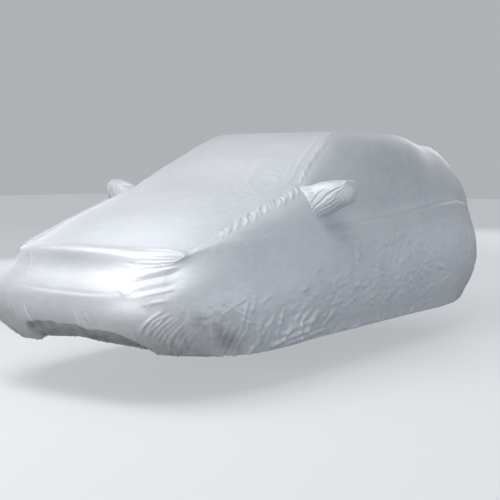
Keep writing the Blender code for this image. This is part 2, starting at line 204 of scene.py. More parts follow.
# each panel's columns u, its rows t and a point for each pair
panels = {
    "top": (topShares, sideShares, topSurface(topShares, sideShares)),
    "side_left": (sideShares, downShares, leftSide),
    "side_right": (sideShares, downShares, leftSide * (-1, 1, 1)),
    "front": (np.linspace(-1, 1, 2 * grids["frontAcross"] + 1), downShares,
              bothHalves(hangingSurface("front", frontShares, downShares))),
    "rear": (np.linspace(-1, 1, 2 * grids["rearAcross"] + 1), downShares,
             bothHalves(hangingSurface("rear", rearShares, downShares))),
}
print("grids:", {name: grid[2].shape[:2] for name, grid in panels.items()})


def gridNormals(points):
    # across both grid directions, turned to point away from the car's middle
    normal = np.cross(np.gradient(points, axis=0), np.gradient(points, axis=1))
    normal /= np.linalg.norm(normal, axis=2)[:, :, None]
    away = (normal * (points - cover["middle"])).sum()
    return normal if away > 0 else -normal


def edgeOf(grid, edge):
    return {"start": grid[0], "end": grid[-1], "head": grid[:, 0], "foot": grid[:, -1]}[edge]


# which edge of a panel is sewn to which edge of another
seams = [("top", "end", "side_left", "head"), ("top", "start", "side_right", "head"),
         ("top", "head", "front", "head"), ("top", "foot", "rear", "head"),
         ("front", "end", "side_left", "start"), ("front", "start", "side_right", "start"),
         ("rear", "end", "side_left", "end"), ("rear", "start", "side_right", "end")]


def sewnEdges(name):
    # a panel's sewn edges, each with the panel and edge on the seam's other side
    both = [pair for seam in seams for pair in ((seam[:2], seam[2:]), (seam[2:], seam[:2]))]
    return [(edge, *other) for (panel, edge), other in both if panel == name]


def sharesAlong(panel, edge):
    return panels[panel][1] if edge in ("start", "end") else panels[panel][0]


def lengthsAlong(points, axis):
    # the run along each row or column of a grid
    steps = np.linalg.norm(np.diff(points, axis=axis), axis=2)
    return np.insert(np.cumsum(steps, axis=axis), 0, 0.0, axis=axis)


def distancesIn(points, edge):
    # how far each grid point lies from an edge, measured along its own row or column
    axis = 0 if edge in ("start", "end") else 1
    run = lengthsAlong(points, axis)
    if edge in ("start", "head"):
        return run
    return (run[-1:] if axis == 0 else run[:, -1:]) - run


seamLean = 0.05   # at a seam both panels lean to the mean of their normals, fading over this far into each


def seamNormals():
    plain = {name: gridNormals(grid[2]) for name, grid in panels.items()}
    shared = {name: normal.copy() for name, normal in plain.items()}
    for name in panels:
        for edge, other, otherEdge in sewnEdges(name):
            mine = edgeOf(plain[name], edge)
            where, known = sharesAlong(name, edge), sharesAlong(other, otherEdge)
            theirs = np.stack([np.interp(where, known, column)
                               for column in edgeOf(plain[other], otherEdge).T], axis=1)
            lean = (mine + theirs) / np.linalg.norm(mine + theirs, axis=1)[:, None] - mine
            lean = lean[None] if edge in ("start", "end") else lean[:, None]
            shared[name] += lean * np.exp(-(distancesIn(panels[name][2], edge) / seamLean) ** 2)[:, :, None]
    return {name: normal / np.linalg.norm(normal, axis=2)[:, :, None] for name, normal in shared.items()}


normals = seamNormals()


pastCorner = 0.17   # how much of a side panel's length is as long as half the front's width


def onPanel(panel, places):
    # the points of a panel at pairs of shares, picked between its grid points; a front share past 1 runs on
    # round the corner over the side panel
    places = np.asarray(places, float)
    if panel == "front" and np.abs(places[:, 0]).max() > 1:
        past = np.abs(places[:, 0]) > 1
        beside = "side_left" if places[:, 0].max() > 1 else "side_right"
        corner = onPanel(beside, np.column_stack([(np.abs(places[:, 0]) - 1) * pastCorner, places[:, 1]]))
        return np.where(past[:, None], corner, onPanel(panel, np.clip(places, -1, 1)))
    columns, rows, points = panels[panel]
    i = np.interp(places[:, 0], columns, np.arange(len(columns)))
    j = np.interp(places[:, 1], rows, np.arange(len(rows)))
    i0, j0 = np.minimum(i.astype(int), len(columns) - 2), np.minimum(j.astype(int), len(rows) - 2)
    fi, fj = (i - i0)[:, None], (j - j0)[:, None]
    return ((points[i0, j0] * (1 - fi) + points[i0 + 1, j0] * fi) * (1 - fj)
            + (points[i0, j0 + 1] * (1 - fi) + points[i0 + 1, j0 + 1] * fi) * fj)


def smoothLine(line, corners=9):
    # a curve through the corners, so that a crease bends softly
    line = np.asarray(line, float)
    if len(line) < 3:
        return line
    return curveThrough(lengthShares(line), line, np.linspace(0, 1, corners))


def addCrease(heights, line, width, height, profile, fade):
    # soft: exp(-(d/w)^2); sharp: exp(-|d|/w); lap: a ridge on the line's one side and a trough on the other,
    # 1.4 (d/w) exp(0.5 - (d/w)^2); all of them die out over the fade shares of the line's two ends
    lengths = np.linalg.norm(np.diff(line, axis=0), axis=1)
    # only points in the line's box, grown by this reach, are moved
    total, reach = lengths.sum(), 3.0 * width
    low, high = line.min(axis=0) - reach, line.max(axis=0) + reach
    starts = np.concatenate([[0.0], np.cumsum(lengths)])
    for name, (_, _, points) in panels.items():
        flat = points.reshape(-1, 3)
        near = np.nonzero(((flat > low) & (flat < high)).all(axis=1))[0]
        if not len(near):
            continue
        at = flat[near]
        best = np.full(len(near), np.inf)
        run, side = np.zeros(len(near)), np.zeros(len(near))
        normal = normals[name].reshape(-1, 3)[near]
        for k, length in enumerate(lengths):
            along = (line[k + 1] - line[k]) / length
            off = at - line[k]
            s = np.clip(off @ along, 0, length)
            gap = off - s[:, None] * along
            d = np.linalg.norm(gap, axis=1)
            nearer = d < best
            best = np.where(nearer, d, best)
            run = np.where(nearer, (starts[k] + s) / total, run)
            side = np.where(nearer, np.sign((np.cross(along, normal) * gap).sum(axis=1)), side)
        x = best / width
        shape = {"soft": np.exp(-x**2), "sharp": np.exp(-x),
                 "lap": 1.4 * side * x * np.exp(0.5 - x**2)}[profile]
        ends = np.ones(len(near))
        if fade[0]:
            ends *= np.clip(run / fade[0], 0, 1)
        if fade[1]:
            ends *= np.clip((1 - run) / fade[1], 0, 1)
        heights[name].reshape(-1)[near] += height * shape * ends**2 * (3 - 2 * ends)


# the box of the noises holds the whole cover
noiseBox = {"corner": np.array([-1.3, -2.6, -0.1]), "size": np.array([2.6, 5.4, 2.0])}


def cloudNoise(points, size, seed):
    # random values on a lattice of this cell size, blended between its corners by 3s^2 - 2s^3: from -1 to 1
    size = np.asarray(size, float)
    at = (points - noiseBox["corner"]) / size
    cells = np.ceil(noiseBox["size"] / size).astype(int) + 3
    lattice = np.random.default_rng(seed).uniform(-1, 1, cells)
    base = np.clip(np.floor(at).astype(int), 0, cells - 2)
    s = np.clip(at - base, 0, 1)
    s = s * s * (3 - 2 * s)
    value = np.zeros(points.shape[:-1])
    for corner in np.ndindex(2, 2, 2):
        weight = np.prod(np.where(corner, s, 1 - s), axis=-1)
        value += weight * lattice[tuple((base + corner)[..., k] for k in range(3))]
    return value


def crumpled(points, size, seed, bend=0.5):
    # sharp-crested folds: 1 - |noise|, its places first pushed about by a slower noise
    pushed = points + bend * np.asarray(size) * np.stack(
        [cloudNoise(points, np.asarray(size) * 1.7, seed + 10 + k) for k in range(3)], axis=-1)
    return 1 - np.abs(cloudNoise(pushed, size, seed)) * 2


def patch(panel, middle, spread):
    # 1 at the middle of a patch of the panel, falling off by exp(-(x^2 + y^2)) in shares
    columns, rows, _ = panels[panel]
    u, t = columns[:, None], rows[None, :]
    return np.exp(-((u - middle[0]) / spread[0]) ** 2 - ((t - middle[1]) / spread[1]) ** 2)


def plateau(values, low, high, soft):
    # 1 between low and high, easing to 0 over soft outside them
    rise = np.clip((values - low + soft) / soft, 0, 1)
    fall = np.clip((high + soft - values) / soft, 0, 1)
    ease = rise * fall
    return ease * ease * (3 - 2 * ease)


# creases listed by panel: corner places as shares (column, row), width, height, fades, and the
# profile where it isn't soft; "sides" are on both side panels
doorLine = [(0.356, 0.415), (0.52, 0.42), (0.78, 0.392), (0.95, 0.355)]
creases = {
    "sides": [
        # the body line along each side: soft on the wing, a clear trough along the doors
        ([(0.03, 0.19), (0.064, 0.238), (0.125, 0.30), (0.20, 0.365), (0.30, 0.405)],
         0.040, 0.0024, (0.3, 0.3), "lap"),
        ([(0.22, 0.375)] + doorLine, 0.026, -0.0092, (0.35, 0.10)),
        ([(0.40, 0.42)] + doorLine[1:], 0.0065, -0.0016, (0.4, 0.10), "sharp"),
        # the cloth steps out over the doors' upper edge, and they bulge below it
        ([(0.24, 0.385)] + doorLine, 0.040, 0.0060, (0.35, 0.10), "lap"),
        ([(0.27, 0.50), (0.40, 0.51), (0.56, 0.505), (0.78, 0.475), (0.93, 0.440)],
         0.055, 0.0100, (0.4, 0.25)),
        # fuller cloth where the bonnet's corner, the front and the side meet
        ([(0.004, 0.060), (0.030, 0.060), (0.070, 0.060)], 0.022, 0.0080, (0.2, 0.6)),
    ],
    "side_left": [
        ([(0.585, 0.455), (0.65, 0.440), (0.71, 0.443)], 0.010, 0.002, (0.4, 0.5)),
        # deep folds and crumples low behind the left front corner
        ([(0.064, 0.998), (0.090, 0.918), (0.119, 0.82)], 0.010, -0.0125, (0.0, 0.5)),
        ([(0.078, 0.998), (0.103, 0.925), (0.132, 0.84)], 0.0085, 0.0070, (0.0, 0.5)),
        ([(0.050, 0.998), (0.076, 0.90), (0.100, 0.79)], 0.0085, 0.0065, (0.0, 0.5)),
        ([(0.098, 0.94), (0.118, 0.80), (0.134, 0.64)], 0.0070, 0.0060, (0.3, 0.4)),
        ([(0.112, 0.93), (0.131, 0.80), (0.146, 0.66)], 0.0065, 0.0050, (0.3, 0.4)),
        ([(0.030, 0.58), (0.026, 0.80), (0.012, 0.99)], 0.022, -0.0110, (0.3, 0.1)),
        ([(0.049, 0.66), (0.050, 0.80), (0.040, 0.985)], 0.0080, 0.0050, (0.4, 0.2)),
        ([(0.061, 0.70), (0.063, 0.82), (0.054, 0.97)], 0.0070, 0.0060, (0.4, 0.2)),
        ([(0.075, 0.68), (0.078, 0.80), (0.070, 0.90)], 0.0070, 0.0065, (0.4, 0.3)),
        ([(0.068, 0.655), (0.104, 0.746), (0.140, 0.830)], 0.0075, 0.0035, (0.3, 0.4)),
        ([(0.070, 0.785), (0.102, 0.721), (0.134, 0.660)], 0.0075, 0.0035, (0.3, 0.4)),
        ([(0.106, 0.998), (0.142, 0.926), (0.180, 0.83)], 0.012, 0.0060, (0.0, 0.5)),
        ([(0.100, 0.60), (0.128, 0.70), (0.150, 0.82)], 0.010, 0.0030, (0.4, 0.4)),
        # slack that sweeps back and up from the hem, and a pinched pleat further on
        ([(0.140, 0.990), (0.208, 0.955), (0.315, 0.925)], 0.014, 0.010, (0.2, 0.5)),
        ([(0.165, 0.996), (0.25, 0.972), (0.37, 0.952)], 0.012, 0.008, (0.2, 0.5)),
        ([(0.155, 0.955), (0.22, 0.915), (0.31, 0.875)], 0.014, 0.007, (0.3, 0.5)),
        ([(0.500, 0.999), (0.497, 0.96), (0.490, 0.91)], 0.010, 0.010, (0.0, 0.6), "sharp"),
        # upright folds round the rear corner
        ([(0.990, 0.95), (0.966, 0.80), (0.960, 0.60)], 0.018, 0.012, (0.1, 0.5)),
        ([(0.916, 0.42), (0.912, 0.60), (0.904, 0.76)], 0.011, 0.0080, (0.4, 0.5)),
        ([(0.893, 0.46), (0.890, 0.62), (0.886, 0.82)], 0.011, 0.0065, (0.4, 0.5)),
        ([(0.936, 0.50), (0.930, 0.62), (0.922, 0.74)], 0.010, 0.0080, (0.4, 0.5)),
        ([(0.955, 0.99), (0.938, 0.86), (0.930, 0.68)], 0.015, 0.009, (0.1, 0.5)),
        ([(0.925, 0.99), (0.908, 0.88), (0.902, 0.74)], 0.014, 0.007, (0.1, 0.5)),
        # along the front pillar
        ([(0.245, 0.030), (0.31, 0.030), (0.38, 0.028), (0.47, 0.030)], 0.014, 0.006, (0.3, 0.3)),
    ],
    "front": [
        # ridges side by side across the left end of the bonnet's front edge
        ([(0.46, 0.020), (0.75, 0.022), (0.99, 0.008)], 0.0075, 0.0070, (0.6, 0.15)),
        ([(0.56, 0.070), (0.80, 0.064), (1.01, 0.068)], 0.0075, 0.0075, (0.6, 0.15)),
        ([(0.62, 0.122), (0.84, 0.115), (1.04, 0.110)], 0.0075, 0.0070, (0.6, 0.15)),
        ([(0.70, 0.190), (0.88, 0.176), (1.05, 0.155)], 0.0085, 0.0060, (0.6, 0.2)),
        # the long slanting fold below them, bright above and below its dark line
        ([(0.54, 0.585), (0.70, 0.525), (0.84, 0.485), (0.98, 0.455), (1.10, 0.43)],
         0.0105, -0.0085, (0.6, 0.15)),
        ([(0.58, 0.520), (0.76, 0.462), (0.92, 0.420), (1.12, 0.370)], 0.013, 0.0075, (0.6, 0.25)),
        ([(0.64, 0.590), (0.82, 0.540), (0.97, 0.515), (1.12, 0.500)], 0.011, 0.0060, (0.5, 0.25)),
        ([(0.60, 0.405), (0.78, 0.378), (0.94, 0.355), (1.08, 0.320)], 0.0085, 0.0035, (0.6, 0.2)),
        ([(0.66, 0.330), (0.86, 0.312), (1.05, 0.275)], 0.0085, 0.0034, (0.6, 0.2)),
        ([(0.68, 0.262), (0.86, 0.248), (1.04, 0.220)], 0.0080, 0.0030, (0.6, 0.2)),
        ([(0.70, 0.640), (0.88, 0.598), (1.10, 0.565)], 0.0085, 0.0058, (0.5, 0.2)),
        ([(0.68, 0.602), (0.86, 0.568), (1.10, 0.532)], 0.0075, -0.0045, (0.5, 0.2)),
        ([(0.78, 0.685), (0.92, 0.655), (1.06, 0.640)], 0.0085, 0.0050, (0.5, 0.3)),
        # the bumper's crest, soft, right across, and a faint upright line on the far part
        ([(-0.60, 0.585), (-0.20, 0.605), (0.30, 0.615), (0.75, 0.612)], 0.016, 0.0022, (0.4, 0.4), "lap"),
        ([(-0.72, 0.10), (-0.56, 0.35), (-0.42, 0.58)], 0.010, 0.0016, (0.3, 0.4)),
    ],
    "top": [
        ([(0.93, 0.225), (0.935, 0.30), (0.93, 0.38), (0.90, 0.46)], 0.014, 0.0055, (0.3, 0.3)),
        ([(0.89, 0.245), (0.88, 0.30), (0.84, 0.36)], 0.012, 0.0035, (0.4, 0.5)),
        # long soft pulls over bonnet, windscreen and roof
        ([(0.70, 0.19), (0.55, 0.28), (0.46, 0.36)], 0.030, 0.0050, (0.4, 0.5)),
        ([(-0.62, 0.17), (-0.50, 0.26), (-0.46, 0.35)], 0.030, 0.0050, (0.4, 0.5)),
        ([(0.20, 0.05), (0.30, 0.12), (0.48, 0.19)], 0.034, 0.0040, (0.5, 0.5)),
        ([(-0.80, 0.46), (-0.40, 0.48), (0.10, 0.47), (0.70, 0.455)], 0.028, 0.0045, (0.3, 0.3), "lap"),
        ([(-0.60, 0.70), (-0.10, 0.72), (0.40, 0.70)], 0.030, 0.0030, (0.4, 0.4)),
        ([(-0.50, 0.86), (0.00, 0.88), (0.55, 0.86)], 0.026, 0.0040, (0.4, 0.4)),
    ],
    "side_right": [
        # folds behind the right front corner, slack from the hem, and one round the rear corner
        ([(0.060, 0.998), (0.088, 0.918), (0.118, 0.82)], 0.013, 0.013, (0.0, 0.5)),
        ([(0.030, 0.60), (0.024, 0.80), (0.012, 0.99)], 0.018, -0.011, (0.3, 0.1)),
        ([(0.140, 0.990), (0.208, 0.955), (0.330, 0.92)], 0.014, 0.009, (0.2, 0.5)),
        ([(0.955, 0.99), (0.938, 0.84), (0.930, 0.62)], 0.015, 0.010, (0.1, 0.5)),
    ],
}


def placedCreases(heights):
    for panel, lines in creases.items():
        for places, width, height, fade, *named in lines:
            profile = named[0] if named else "soft"
            for name in ("side_left", "side_right") if panel == "sides" else (panel,):
                # on the right panel a lap has its two sides swapped
                turned = -height if profile == "lap" and name == "side_right" else height
                addCrease(heights, onPanel(name, smoothLine(places)), width, turned, profile, fade)


# rows of like creases: panels, the line where they start and the line where they end, how many, width,
# height, fades, chance in place and size, a seed for each panel, and the panel where they end if another
rows = [
    # puckers along the seam between top and side, beside the bonnet, leaning back as they rise
    (("side_left",), ((0.056, 0.150), (0.246, 0.125)), ((0.069, 0.0), (0.262, 0.0)),
     26, 0.0078, 0.0056, (0.40, 0.0), 0.30, (3,)),
    (("side_right",), ((0.052, 0.120), (0.240, 0.100)), ((0.068, 0.001), (0.262, 0.001)),
     19, 0.0090, 0.0050, (0.55, 0.20), 0.40, (4,)),
    # finer ones up the pillars
    (("side_left", "side_right"), ((0.27, 0.075), (0.50, 0.055)), ((0.285, 0.003), (0.515, 0.003)),
     30, 0.0070, 0.0026, (0.6, 0.2), 0.6, (5, 6)),
    # along the roof's seams, faint
    (("side_left", "side_right"), ((0.53, 0.06), (0.94, 0.07)), ((0.535, 0.004), (0.945, 0.004)),
     34, 0.010, 0.0026, (0.6, 0.2), 0.6, (7, 8)),
    # short ones at the bonnet's two front corners
    (("front",), ((-0.97, 0.10), (-0.80, 0.07)), ((-0.97, 0.016), (-0.80, 0.012)),
     6, 0.009, 0.0030, (0.4, 0.4), 0.3, (9,), "top"),
    # strong gathers slanting round the left front corner above the hem
    (("front",), ((0.74, 0.865), (1.02, 0.985)), ((1.00, 0.69), (1.27, 0.85)),
     12, 0.0062, 0.0080, (0.15, 0.35), 0.20, (10,)),
    (("front",), ((0.60, 0.930), (0.80, 0.975)), ((0.66, 0.78), (0.90, 0.80)),
     9, 0.0052, 0.0034, (0.10, 0.6), 0.4, (25,)),
    (("front",), ((0.86, 0.995), (1.24, 0.999)), ((0.96, 0.905), (1.33, 0.890)),
     15, 0.0056, 0.0050, (0.05, 0.5), 0.45, (11,)),
    # gathers by the tucked hem's far part
    (("front",), ((-0.44, 0.90), (-0.24, 0.90)), ((-0.50, 0.70), (-0.34, 0.66)),
     7, 0.0070, 0.0045, (0.1, 0.6), 0.5, (12,)),
    (("front",), ((0.24, 0.90), (0.42, 0.89)), ((0.15, 0.72), (0.34, 0.70)),
     8, 0.0070, 0.0040, (0.1, 0.6), 0.5, (13,)),
    # the right front corner and both rear corners are gathered in the same way
    (("front",), ((-0.99, 0.985), (-0.74, 0.955)), ((-0.99, 0.72), (-0.90, 0.72)),
     9, 0.0085, 0.0080, (0.15, 0.5), 0.3, (14,)),
    (("rear",), ((0.60, 0.97), (0.99, 0.985)), ((0.72, 0.74), (0.99, 0.76)),
     10, 0.0100, 0.0085, (0.15, 0.5), 0.4, (15,)),
    (("rear",), ((-0.99, 0.985), (-0.60, 0.97)), ((-0.99, 0.76), (-0.72, 0.74)),
     10, 0.0100, 0.0085, (0.15, 0.5), 0.4, (16,)),
    # the hem's elastic gathers the cloth all round, least along the sides
    (("front",), ((-0.96, 0.998), (0.96, 0.998)), ((-0.97, 0.90), (0.95, 0.90)),
     64, 0.0070, 0.0042, (0.0, 0.7), 0.6, (17,)),
    (("rear",), ((-0.96, 0.998), (0.96, 0.998)), ((-0.95, 0.90), (0.94, 0.90)),
     60, 0.009, 0.0060, (0.0, 0.7), 0.6, (18,)),
    (("side_left", "side_right"), ((0.03, 0.998), (0.97, 0.998)), ((0.038, 0.94), (0.965, 0.95)),
     80, 0.011, 0.0042, (0.0, 0.8), 0.7, (19, 20)),
    # slack hanging from the waist low on both sides behind the front wheel
    (("side_left",), ((0.12, 0.97), (0.30, 0.96)), ((0.15, 0.78), (0.36, 0.82)),
     9, 0.016, 0.0065, (0.2, 0.6), 0.5, (21,)),
    (("side_right",), ((0.05, 0.97), (0.30, 0.96)), ((0.07, 0.75), (0.36, 0.82)),
     11, 0.018, 0.0065, (0.2, 0.6), 0.5, (22,)),
    # sagging folds on the tail
    (("rear",), ((-0.80, 0.30), (0.80, 0.32)), ((-0.84, 0.62), (0.84, 0.60)),
     9, 0.022, 0.0060, (0.5, 0.5), 0.6, (23,)),
]


# what a row's chance does to places, to both ends' reach and to thickness, and how far a crease bends
rowChance = {"place": 1.6, "reach": 0.6, "thick": 0.5, "bend": 0.06}


def creaseRow(heights, panel, first, last, count, width, height, fade, chance, seed, lastPanel):
    # crease k starts at share k/count of the first line and ends at that share of the last, give or take a
    # chance, and bends a little on the way; a row within one panel follows its surface between the two ends
    random = np.random.default_rng(seed)
    moved = random.uniform(-0.5, 0.5, count) * min(rowChance["place"] * chance, 1)
    place = (np.arange(count) + 0.5 + moved) / count
    reach = 1 + random.uniform(-chance, chance, (count, 2)) * rowChance["reach"]
    size = 1 + random.uniform(-chance, chance, count)
    thick = 1 + random.uniform(-chance, chance, count) * rowChance["thick"]
    first, last = np.array(first), np.array(last)
    starts = first[0] + (first[1] - first[0]) * place[:, None]
    ends = last[0] + (last[1] - last[0]) * place[:, None]
    along = panel == lastPanel
    if not along:
        starts, ends = onPanel(panel, starts), onPanel(lastPanel, ends)
    middle = (starts + ends) / 2
    bend = random.normal(0, rowChance["bend"], middle.shape) * np.abs(ends - starts).max(axis=1)[:, None]
    for k in range(count):
        line = np.stack([middle[k] + (starts[k] - middle[k]) * reach[k, 0], middle[k] + bend[k],
                         middle[k] + (ends[k] - middle[k]) * reach[k, 1]])
        line = smoothLine(line, 8)
        if along:
            line = onPanel(panel, np.clip(line, (-2, 0), (2, 1)))
        addCrease(heights, line, width * thick[k], height * size[k], "soft", fade)


def creaseRows(heights):
    for names, first, last, count, width, height, fade, chance, seeds, *lastPanel in rows:
        for name, seed in zip(names, seeds):
            end = lastPanel[0] if lastPanel else name
            creaseRow(heights, name, first, last, count, width, height, fade, chance, seed, end)


# short creases strewn over the loose parts of the cloth: panel, middle and spread in shares, how many,
# shortest and longest, width, height, tilt and its spread in degrees, seed
strewn = [
    ("side_left", (0.47, 0.70), (0.115, 0.13), 170, (0.07, 0.22), 0.0100, 0.0038, 4, 15, 61),
    ("side_left", (0.68, 0.70), (0.10, 0.13), 100, (0.08, 0.24), 0.0105, 0.0042, 2, 16, 62),
    ("side_left", (0.085, 0.82), (0.035, 0.09), 90, (0.04, 0.11), 0.0060, 0.0026, 55, 40, 63),
    ("side_left", (0.24, 0.86), (0.08, 0.08), 55, (0.08, 0.22), 0.0090, 0.0028, 20, 14, 64),
    ("side_left", (0.90, 0.75), (0.05, 0.13), 60, (0.06, 0.18), 0.0095, 0.0024, 70, 35, 65),
    ("side_left", (0.60, 0.24), (0.16, 0.09), 46, (0.08, 0.24), 0.0100, 0.0015, 50, 50, 66),
    ("side_right", (0.47, 0.70), (0.13, 0.13), 190, (0.06, 0.20), 0.0085, 0.0026, -8, 26, 67),
    ("side_right", (0.70, 0.72), (0.12, 0.12), 100, (0.06, 0.18), 0.0085, 0.0024, 8, 30, 68),
    ("side_right", (0.09, 0.82), (0.04, 0.09), 60, (0.05, 0.13), 0.0065, 0.0028, 60, 40, 69),
    ("front", (0.86, 0.86), (0.08, 0.05), 24, (0.04, 0.10), 0.0050, 0.0024, 52, 14, 70),
    ("front", (0.0, 0.90), (0.40, 0.05), 60, (0.04, 0.10), 0.0060, 0.0024, 80, 35, 71),
    ("front", (-0.80, 0.86), (0.12, 0.07), 40, (0.05, 0.12), 0.0060, 0.0030, 60, 30, 72),
    ("front", (0.80, 0.40), (0.12, 0.16), 26, (0.06, 0.16), 0.0075, 0.0025, -6, 14, 73),
    ("rear", (0.0, 0.72), (0.50, 0.14), 130, (0.06, 0.18), 0.0090, 0.0026, 0, 34, 74),
    ("top", (0.70, 0.22), (0.12, 0.04), 34, (0.06, 0.16), 0.0090, 0.0028, 40, 25, 75),
    ("top", (-0.70, 0.22), (0.12, 0.04), 34, (0.06, 0.16), 0.0090, 0.0028, -40, 25, 76),
]


# the same for all of them: height and width give or take, share and size of the sunk ones, bend and fades
strewnChance = {"height": (0.4, 1.3), "width": (0.75, 1.35), "sunkShare": 0.3, "sunk": -0.8, "bend": 0.14,
                "fade": (0.45, 0.45)}


def metresPerShare(name):
    # the length of a panel's middle row and middle column over the shares that they span
    columns, places, points = panels[name]
    middleRow, middleColumn = points[:, points.shape[1] // 2], points[points.shape[0] // 2]
    return (np.linalg.norm(np.diff(middleRow, axis=0), axis=1).sum() / (columns[-1] - columns[0]),
            np.linalg.norm(np.diff(middleColumn, axis=0), axis=1).sum() / (places[-1] - places[0]))


def strewnCreases(heights):
    # every crease is a gently bent line through a chance place, some raised and some sunk
    for name, middle, spread, count, lengths, thick, tall, tilt, turn, seed in strewn:
        random = np.random.default_rng(seed)
        wide, high = metresPerShare(name)
        place = np.array(middle) + random.normal(0, 1, (count, 2)) * spread
        angle = np.radians(tilt + random.normal(0, turn, count))
        length = random.uniform(*lengths, count)
        height = tall * random.uniform(*strewnChance["height"], count)
        height *= np.where(random.uniform(0, 1, count) < strewnChance["sunkShare"], strewnChance["sunk"], 1)
        width = thick * random.uniform(*strewnChance["width"], count)
        bend = random.normal(0, strewnChance["bend"], (count, 2))
        step = np.stack([np.cos(angle) / wide, -np.sin(angle) / high], axis=1) * length[:, None] / 2
        cross = np.stack([np.sin(angle) / wide, np.cos(angle) / high], axis=1) * length[:, None]
        least, most = (panels[name][0][0], 0.015), (panels[name][0][-1], 0.995)
        for k in range(count):
            line = np.stack([place[k] - step[k], place[k] - step[k] / 3 + cross[k] * bend[k, 0],
                             place[k] + step[k] / 3 + cross[k] * bend[k, 1], place[k] + step[k]])
            line = onPanel(name, smoothLine(np.clip(line, least, most), 6))
            # one that is squeezed together at the panel's edge is left out
            if np.linalg.norm(np.diff(line, axis=0), axis=1).min() > 1e-4:
                addCrease(heights, line, width[k], height[k], "soft", strewnChance["fade"])


# the front hem is tucked under: below this edge, given as shares (column, row), the cloth steps inwards
tuck = {"depth": 0.030, "soft": 0.050, "across": (-0.40, 0.72, 0.08),
        "waves": ((0.005, 23, 0), (0.003, 41, 1)),   # size, turns and shift of each wave in the edge
        "edge": np.array([[-0.46, 0.90], [-0.36, 0.845], [-0.24, 0.818], [0.17, 0.820], [0.35, 0.842],
                          [0.62, 0.868], [0.72, 0.930], [0.80, 1.00]])}


def tuckShare():
    # the smooth step 3s^2 - 2s^3 of how far a place of the front lies below the tuck's edge
    columns, rowPlaces, points = panels["front"]
    edge = np.interp(columns, tuck["edge"][:, 0], tuck["edge"][:, 1], left=1.1, right=1.1)
    wavy = sum(size * np.sin(columns * turns + shift) for size, turns, shift in tuck["waves"])
    s = np.clip((rowPlaces[None, :] - (edge + wavy)[:, None]) / tuck["soft"], 0, 1)
    return s * s * (3 - 2 * s) * plateau(columns, *tuck["across"])[:, None]


def tuckHem(heights):
    heights["front"] -= tuck["depth"] * tuckShare()


# darker places, dirt and painted shade: the tucked strip's amount, then patches as panel, middle, spread,
# amount
soilAndShade = {
    # the tucked strip darkened: dirt, and painted shade in the recess under the tuck
    "tucked": 0.85,
    # darker patches along the hem
    "patches": [("front", (0.97, 1.00), (0.16, 0.10), 0.55), ("front", (0.70, 0.99), (0.10, 0.05), 0.45),
                ("front", (-0.90, 0.98), (0.20, 0.08), 0.45), ("rear", (0.0, 1.00), (0.60, 0.10), 0.45),
                ("side_left", (0.02, 1.00), (0.030, 0.12), 0.50),
                # darker patches in the deep folds behind the left front corner
                ("side_left", (0.080, 0.93), (0.018, 0.06), 0.75),
                ("side_left", (0.070, 0.86), (0.012, 0.05), 0.50),
                ("side_left", (0.045, 0.80), (0.012, 0.07), 0.40),
                # painted shade: the left side's upper part, over the windows, a little darker
                ("side_left", (0.64, 0.20), (0.26, 0.17), 0.17),
                ("side_right", (0.03, 1.00), (0.05, 0.10), 0.40),
                # painted shade: the right side's upper part, over the windows, a little darker
                ("side_right", (0.64, 0.20), (0.26, 0.17), 0.17)],
}


def soilAndShadeOf(name):
    # from 0, unmarked, to 1: the tucked strip and the patches, as dirt and painted shade
    points = panels[name][2]
    amount = np.zeros(points.shape[:2])
    if name == "front":
        amount += soilAndShade["tucked"] * tuckShare()
    for panel, middle, spread, strength in soilAndShade["patches"]:
        if panel == name:
            amount += strength * patch(name, middle, spread)
    return np.clip(amount, 0, 1)


# slack all over: slow swells and ripples, and crumples where the cloth hangs loose; heights and sizes
slack = {
    "swell": 0.0028, "swellSize": (0.55, 0.60, 0.40), "ripple": 0.0011, "rippleSize": (0.16, 0.20, 0.10),
    "crumple": 0.0016, "crumpleSize": (0.12, 0.15, 0.050),
    "fine": 0.0008, "fineSize": (0.05, 0.070, 0.028), "seamFade": 0.06,
}

# how loose the cloth is, from 0 to 1: at least, and then middle, spread and amount of its loosest patches
loose = {
    "top": (0.10, []),
    "side": (0.07, [((0.50, 0.74), (0.24, 0.20), 1.0), ((0.06, 0.84), (0.07, 0.16), 1.0),
                    ((0.90, 0.80), (0.10, 0.18), 0.6)]),
    "front": (0.05, [((0.95, 0.88), (0.25, 0.12), 1.0), ((-0.9, 0.88), (0.25, 0.12), 1.0)]),
    "rear": (0.12, [((0.9, 0.8), (0.3, 0.2), 1.0), ((-0.9, 0.8), (0.3, 0.2), 1.0)]),
}


def looseness(name):
    # near a seam it fades by 1 - exp(-(d / fade)^2), so that both panels keep the same edge
    points = panels[name][2]
    least, places = loose[name.split("_")[0]]
    amount = np.full(points.shape[:2], least)
    for middle, spread, strength in places:
        amount += strength * patch(name, middle, spread)
    amount = np.clip(amount, 0, 1)
    for edge, _, _ in sewnEdges(name):
        amount *= 1 - np.exp(-(distancesIn(points, edge) / slack["seamFade"]) ** 2)
    return amount


def addSlack(heights):
    for name, (_, _, points) in panels.items():
        amount = looseness(name)
        heights[name] += slack["swell"] * cloudNoise(points, slack["swellSize"], 31)
        heights[name] += slack["ripple"] * cloudNoise(points, slack["rippleSize"], 32)
        heights[name] += slack["crumple"] * amount * crumpled(points, slack["crumpleSize"], 33)
        heights[name] += slack["fine"] * amount * crumpled(points, slack["fineSize"], 50)


heights = {name: np.zeros(grid[2].shape[:2]) for name, grid in panels.items()}
placedCreases(heights)
creaseRows(heights)
strewnCreases(heights)
tuckHem(heights)
addSlack(heights)
print("folds up to", {name: [round(float(h.min()) * 1000, 1), round(float(h.max()) * 1000, 1)]
                      for name, h in heights.items()}, "mm")
shaped = {name: grid[2] + normals[name] * heights[name][:, :, None] for name, grid in panels.items()}

